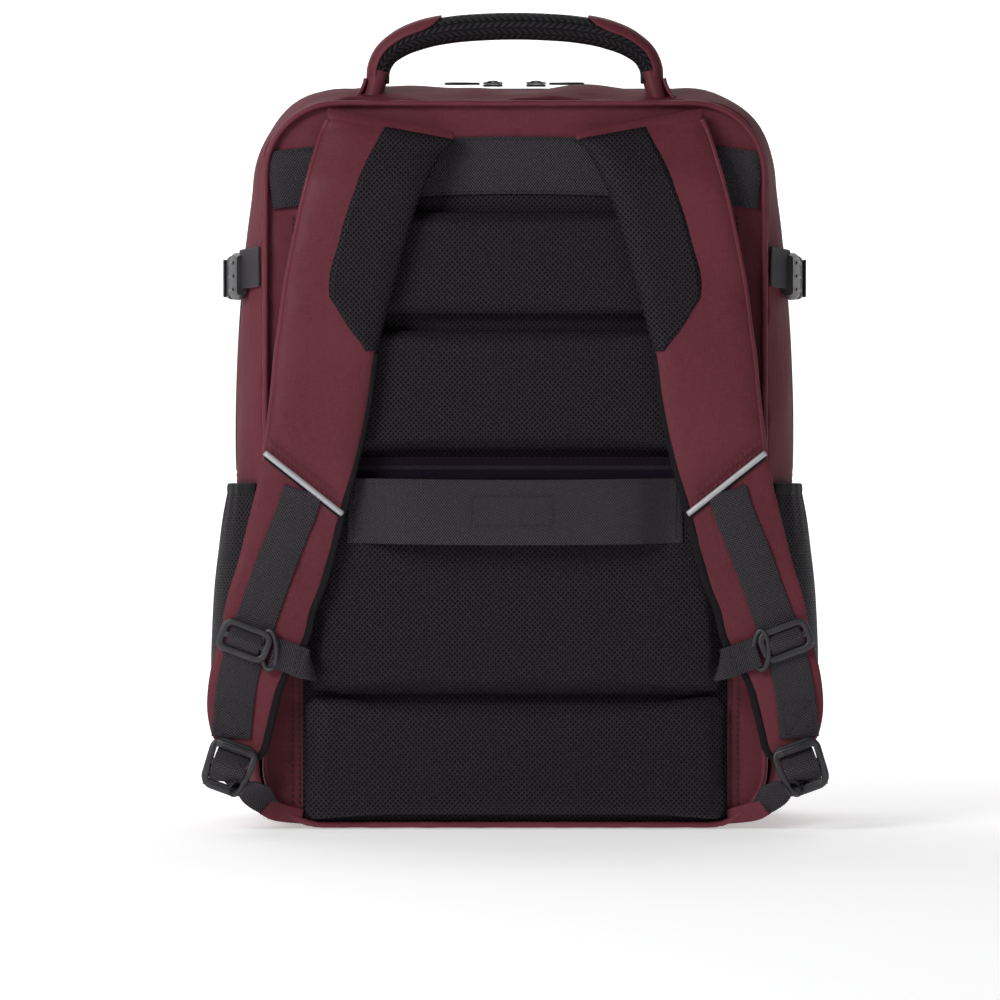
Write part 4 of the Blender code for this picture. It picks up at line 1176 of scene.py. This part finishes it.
def make_handle():
    """Arch with a braided cover, thinner towards its ends, where cloth covers go over it;
    its roots bend between the bag and the handle."""
    radius, ends = size("handle") / 2, 44
    half = [(0.0855, 0.4675), (0.0850, 0.4765), (0.0815, 0.4840), (0.0725, 0.4915),
            (0.0580, 0.4975), (0.0390, 0.5012), (0.0190, 0.5028)]
    arch = np.array([(-x, z) for x, z in half] + half[::-1])
    path = flow(at_depth(arch, HANDLE_Y), 160)
    girth = 1 - 0.24 * ease((np.abs(np.linspace(-1, 1, 160)) - 0.55) / 0.45)
    place(build("handle_cover", "braid",
                carry(path, oval(2 * radius, 2 * radius, 36), DEEP, scale=girth)),
          "handle", "mesh", "grab_handle", pad=0.9)
    t = np.linspace(0, 1, ends)
    round_end = np.sqrt(np.clip(1 - (np.maximum(t - 0.72, 0) / 0.29) ** 2, 0, 1))
    angle = (np.linspace(-1, 1, 19)[None] * (1.35 * round_end + 0.02)[:, None])[..., None]
    r = (radius * (1 - 0.24 * ease((0.45 - t * 0.55) / 0.45)) + 0.0009)[:, None, None]
    for side, tag in SIDES:
        run = (path if side < 0 else path[::-1])[2:2 + ends]
        up = unit(np.cross(unit(np.gradient(run, axis=0)), DEEP))
        up *= np.sign((up * (side, 0, 1)).sum(1, keepdims=True))
        skin = run[:, None] + r * (up[:, None] * np.cos(angle) + np.array(DEEP) * np.sin(angle))
        place(build("handle_end_cover_" + tag, "nylon", grid(skin, facing=(side, 0, 1)),
                    wall=0.0013), "handle", "nylon")
        place(build("handle_end_stitching_" + tag, "thread",
                    *[stitches(skin[1:36, k] + up[1:36] * 0.0007) for k in (2, 16)]),
              "handle", "nylon")
        root = [(side * 0.0905, 0.4555), (side * 0.0885, 0.4620), (side * 0.0868, 0.4690),
                (side * 0.0855, 0.4750)]
        stump = build("handle_root_" + tag, "nylon",
                      carry(flow(at_depth(np.array(root), HANDLE_Y), 20),
                            oval(0.0150, 0.0120, 24, 2.6), DEEP,
                            scale=np.linspace((1.35, 1.0), (0.95, 1.05), 20)))
        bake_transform(stump)
        lug = [(side * 0.1000, 0.4570), (side * 0.0972, 0.4610), (side * 0.0948, 0.4660),
               (side * 0.0938, 0.4700)]
        place(build("handle_tab_" + tag, "nylon_edge",
                    carry(flow(at_depth(np.array(lug), HANDLE_Y), 20),
                          slab(0.0160, 0.0024, 0.0010), DEEP,
                          scale=taper(np.linspace(1.3, 0.8, 20)))),
              "pack", "nylon", "handle_lug_" + tag)


def make_side_buckle(side, tag):
    """Short web over the gusset, the socket with grip ridges, and the clip with its web."""
    level, clip = 0.347, "clip_" + tag
    y = np.linspace(-0.0862, -0.0520, 30)
    web = gusset(np.array([[HALF_WIDTH * side, level + 0.004, side, 0.0]]), y)[0]
    web[:, 0] += side * (0.0030 + 0.0034 * ease((y + 0.0855) / 0.030))
    place(build("side_strap_" + tag, "webbing",
                carry(web, slab(size("side_web"), 0.0015, 0.0006, 2), UP)),
          "pack", "webbing", "side_web_" + tag)
    lean = math.radians(14)
    run = np.array([side * math.sin(lean), math.cos(lean), 0.0])
    out = np.array([side * math.cos(lean), -math.sin(lean), 0.0])
    seat = gusset(np.array([[HALF_WIDTH * side, level, side, 0.0]]), [-0.045], 0.0070)[0, 0]

    def reach(start, end, count):
        return seat + run * np.linspace(start, end, count)[:, None]

    s = np.linspace(-0.0150, 0.0120, 22)
    shape = np.stack([0.86 + 0.14 * np.cos((s + 0.002) * 130), 0.90 + 0.10 * np.cos(s * 140)], 1)
    ridges = [carry(reach(-0.006, 0.009, 10) + out * 0.0040 + (0, 0, z),
                    oval(0.0020, 0.0012, 8), UP) for z in (-0.0085, 0.0, 0.0085)]
    place(build("side_socket_" + tag, "plastic",
                carry(reach(-0.0150, 0.0120, 22), slab(0.0300, 0.0078, 0.0028, 4), UP,
                      scale=shape), *ridges, sharp=50),
          "pack", "plastic", "side_buckle_" + tag)
    place(build("side_clip_" + tag, "plastic",
                carry(reach(0.0125, 0.0240, 12), slab(0.0280, 0.0070, 0.0024, 4), UP,
                      scale=taper(1 - 0.10 * np.linspace(0, 1, 12) ** 2)),
                carry(reach(-0.0045, 0.0140, 10), slab(0.0190, 0.0030, 0.0012), UP), sharp=50),
          clip, "plastic", "side_male_" + tag)
    stub = [seat + run * d + out * o
            for d, o in ((0.0215, 0.0046), (0.0248, 0.0040), (0.0266, 0.0010),
                         (0.0250, -0.0026), (0.0215, -0.0040))]
    place(build("side_clip_web_" + tag, "webbing", ribbon(stub, 0.0240, 0.0013, UP, 30)),
          clip, "webbing")


def make_inside():
    """Laptop sleeve: a bowed sheet with a faint quilting of crossed sines, its top edge
    sagging and bound, and the finish of the frame sheet."""
    flat = np.array([(-0.1425, -0.0846), (-0.1425, -0.0740), (-0.1405, -0.0630),
                     (-0.1300, -0.0590), (-0.0700, -0.0584), (0.0, -0.0582)])
    flat = np.vstack([flat, (flat * (-1, 1))[::-1][1:]])
    rim = flow(field(flat[:, 0], flat[:, 1], 0), 90)
    z = np.linspace(0.0190, 0.2990, 60)[:, None]
    x = np.broadcast_to(rim[:, 0], (60, 90))
    quilt = 0.0008 * np.sin(x * 2 * np.pi / 0.04) * np.sin(z * 2 * np.pi / 0.04)
    skin = field(x, rim[:, 1] + quilt, z - 0.004 * ease((z - 0.26) / 0.04) * (1 - (x / 0.143) ** 2))
    place(build("tablet_sleeve", "lining", grid(skin, facing=DEEP), wall=0.0026),
          "pack", "lining", "laptop_sleeve", pad=0.4)
    place(build("sleeve_binding", "binding",
                carry(skin[-1, 1:-1], oval(0.0042, 0.0060, 12, 3), DEEP)), "pack", "webbing")
    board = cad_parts["frame_sheet"].data.materials
    board.clear()
    board.append(LOOKS["sheet"])


# ---- stage ------------------------------------------------------------------------------------

LAMPS = (    # name, place, size, power and what it is aimed at
    ("key", (-1.35, -1.75, 1.25), 1.0, 35, (0, 0, 0.24)),
    ("fill", (1.9, -1.6, 0.7), 1.4, 1.2, (0, 0, 0.24)),
    ("rear", (-0.9, 1.0, 1.3), 1.2, 4, (0, 0, 0.24)),
    ("backdrop_light", (0.0, 1.2, 2.4), 2.0, 40, (0, 3.0, 0.8)))
WORLD_LIGHT = 0.10
CAMERA_AT, CAMERA_LENS, CAMERA_SENSOR, CAMERA_FAR = (-0.0094, -2.69, 0.205), 149.8, 36, 50


def make_stage():
    """A pale floor that curves up into a backdrop, soft lights, and the camera."""
    scene = bpy.context.scene
    light = scene.pack_finish.light
    a = np.linspace(0, 1, 40)[1:] * np.pi / 2
    y = np.r_[np.linspace(-4.5, 1.6, 20), 1.6 + 1.2 * np.sin(a), 2.8, 2.8]
    z = np.r_[np.zeros(20), 1.2 * (1 - np.cos(a)), 2.5, 4.5] - 0.0004
    sheet = field(np.linspace(-5, 5, 12)[None], y[:, None], z[:, None])
    build("studio_floor", "floor", grid(sheet, facing=(0, -1, 1)))
    for name, at, across, strength, target in LAMPS:
        lamp = bpy.data.lights.new(name, "AREA")
        lamp.energy, lamp.size = strength * light, across
        obj = bpy.data.objects.new(name, lamp)
        scene.collection.objects.link(obj)
        obj.location = at
        aim = Vector(target) - obj.location
        obj.rotation_euler = aim.to_track_quat("-Z", "Y").to_euler()
    scene.world = world = bpy.data.worlds.new("white_room")
    world.use_nodes = True
    sky = world.node_tree.nodes["Background"].inputs
    sky["Color"].default_value = (1, 1, 1, 1)
    sky["Strength"].default_value = WORLD_LIGHT * light
    camera = bpy.data.cameras.new("camera")
    camera.lens, camera.sensor_width, camera.clip_end = CAMERA_LENS, CAMERA_SENSOR, CAMERA_FAR
    obj = bpy.data.objects.new("camera", camera)
    obj.location = CAMERA_AT
    obj.rotation_euler = (math.radians(90), 0, 0)
    scene.collection.objects.link(obj)
    scene.camera = obj
    scene.view_settings.view_transform = "Standard"


# ---- the add-on -------------------------------------------------------------------------------

def colour(name, description, default):
    """A colour that the user may change."""
    return bpy.props.FloatVectorProperty(name=name, description=description, default=default,
                                         size=3, min=0, max=1, subtype="COLOR")


def width(name, description, default):
    """A size in metres, shown in the scene's units."""
    return bpy.props.FloatProperty(name=name, description=description, default=default,
                                   min=0.2 * default, max=2 * default, subtype="DISTANCE",
                                   unit="LENGTH", precision=4)


class PackSizes(bpy.types.PropertyGroup):
    """Widths of the webbing, the piping and the handle."""
    piping: width("Piping", "Thickness of the piping round the back", 0.0038)
    handle: width("Handle", "Thickness of the padded handle", 0.017)
    cross_band: width("Cross band", "Width of the band over the top of the back", 0.036)
    trolley_strap: width("Trolley strap", "Width of the luggage strap", 0.0405)
    strap_web: width("Strap webbing", "Width of the webbing on the shoulder straps", 0.0245)
    chest_web: width("Chest web", "Width of the chest strap's webs", 0.019)
    lower_web: width("Lower web", "Width of the webs to the corners", 0.0206)
    side_web: width("Side web", "Width of the compression webs", 0.025)


class PackFinish(bpy.types.PropertyGroup):
    """Colours of the backpack's cloth and fittings, and the strength of the light."""
    nylon: colour("Nylon", "Colour of the shell", (0.117, 0.0255, 0.0360))
    mesh: colour("Mesh", "Colour of the knitted mesh", (0.0185, 0.0145, 0.0190))
    webbing: colour("Webbing", "Colour of straps and bands", (0.047, 0.0420, 0.0480))
    plastic: colour("Plastic", "Colour of buckles and pullers", (0.022, 0.020, 0.023))
    piping: colour("Reflective piping", "Colour of the shiny piping", (0.50, 0.50, 0.52))
    light: bpy.props.FloatProperty(name="Light", description="Strength of the studio light",
                                   default=1.0, min=0.1, max=5, subtype="FACTOR")


def operator(name, label, words, maker, paired=False):
    """An operator class that runs one maker, or runs it for each side. A maker that fails
    raises, and the script stops."""
    def execute(self, context):
        if not LOOKS:
            mix_looks(context.scene.pack_finish)
        for where in SIDES if paired else ((),):
            maker(*where)
        return {"FINISHED"}
    return type(name, (bpy.types.Operator,), {
        "bl_idname": "backpack." + label.lower().replace(" ", "_"), "bl_label": label,
        "__doc__": words, "execute": execute})


STEPS = [operator(*row) for row in (
    ("BackpackStage", "Stage", "Floor, lights and camera", make_stage),
    ("BackpackShell", "Shell", "Gussets, back, base and front of the bag", make_shell),
    ("BackpackPockets", "Pockets", "Mesh side pockets", make_pockets),
    ("BackpackCushions", "Cushions", "Four padded cushions of the back", make_cushions),
    ("BackpackBack", "Back trims", "Cross band, trolley strap and back zip", make_back),
    ("BackpackZips", "Zips", "Main zip, front pocket and its zip", make_zips),
    ("BackpackStraps", "Shoulder straps", "Padded straps with mesh, webbing and piping",
     make_strap, True),
    ("BackpackChest", "Chest webs", "Slides and webs of the chest strap", make_chest_web, True),
    ("BackpackLower", "Lower webs", "Ladder locks, lower webs and corner tabs",
     make_lower_web, True),
    ("BackpackHandle", "Handle", "Braided grab handle with its ends", make_handle),
    ("BackpackSides", "Side buckles", "Side release buckles with their webs",
     make_side_buckle, True),
    ("BackpackInside", "Inside", "Laptop sleeve and frame sheet", make_inside))]


class VIEW3D_PT_backpack(bpy.types.Panel):
    """Lists the sizes, the colours and the building steps."""
    bl_label = "Backpack"
    bl_space_type, bl_region_type, bl_category = "VIEW_3D", "UI", "Backpack"

    def draw(self, context):
        for group in (context.scene.pack_sizes, context.scene.pack_finish):
            for key in type(group).__annotations__:
                self.layout.prop(group, key)
        for step in STEPS:
            self.layout.operator(step.bl_idname)


CLASSES = [PackSizes, PackFinish, *STEPS, VIEW3D_PT_backpack]


def register():
    for one in CLASSES:
        bpy.utils.register_class(one)
    bpy.types.Scene.pack_sizes = bpy.props.PointerProperty(type=PackSizes)
    bpy.types.Scene.pack_finish = bpy.props.PointerProperty(type=PackFinish)


def unregister():
    del bpy.types.Scene.pack_finish, bpy.types.Scene.pack_sizes
    for one in reversed(CLASSES):
        bpy.utils.unregister_class(one)


def main():
    """Registers the add-on, runs its steps in order, and writes both boxes."""
    register()
    for step in STEPS:
        group, action = step.bl_idname.split(".")
        getattr(getattr(bpy.ops, group), action)()


if __name__ == "__main__":
    main()
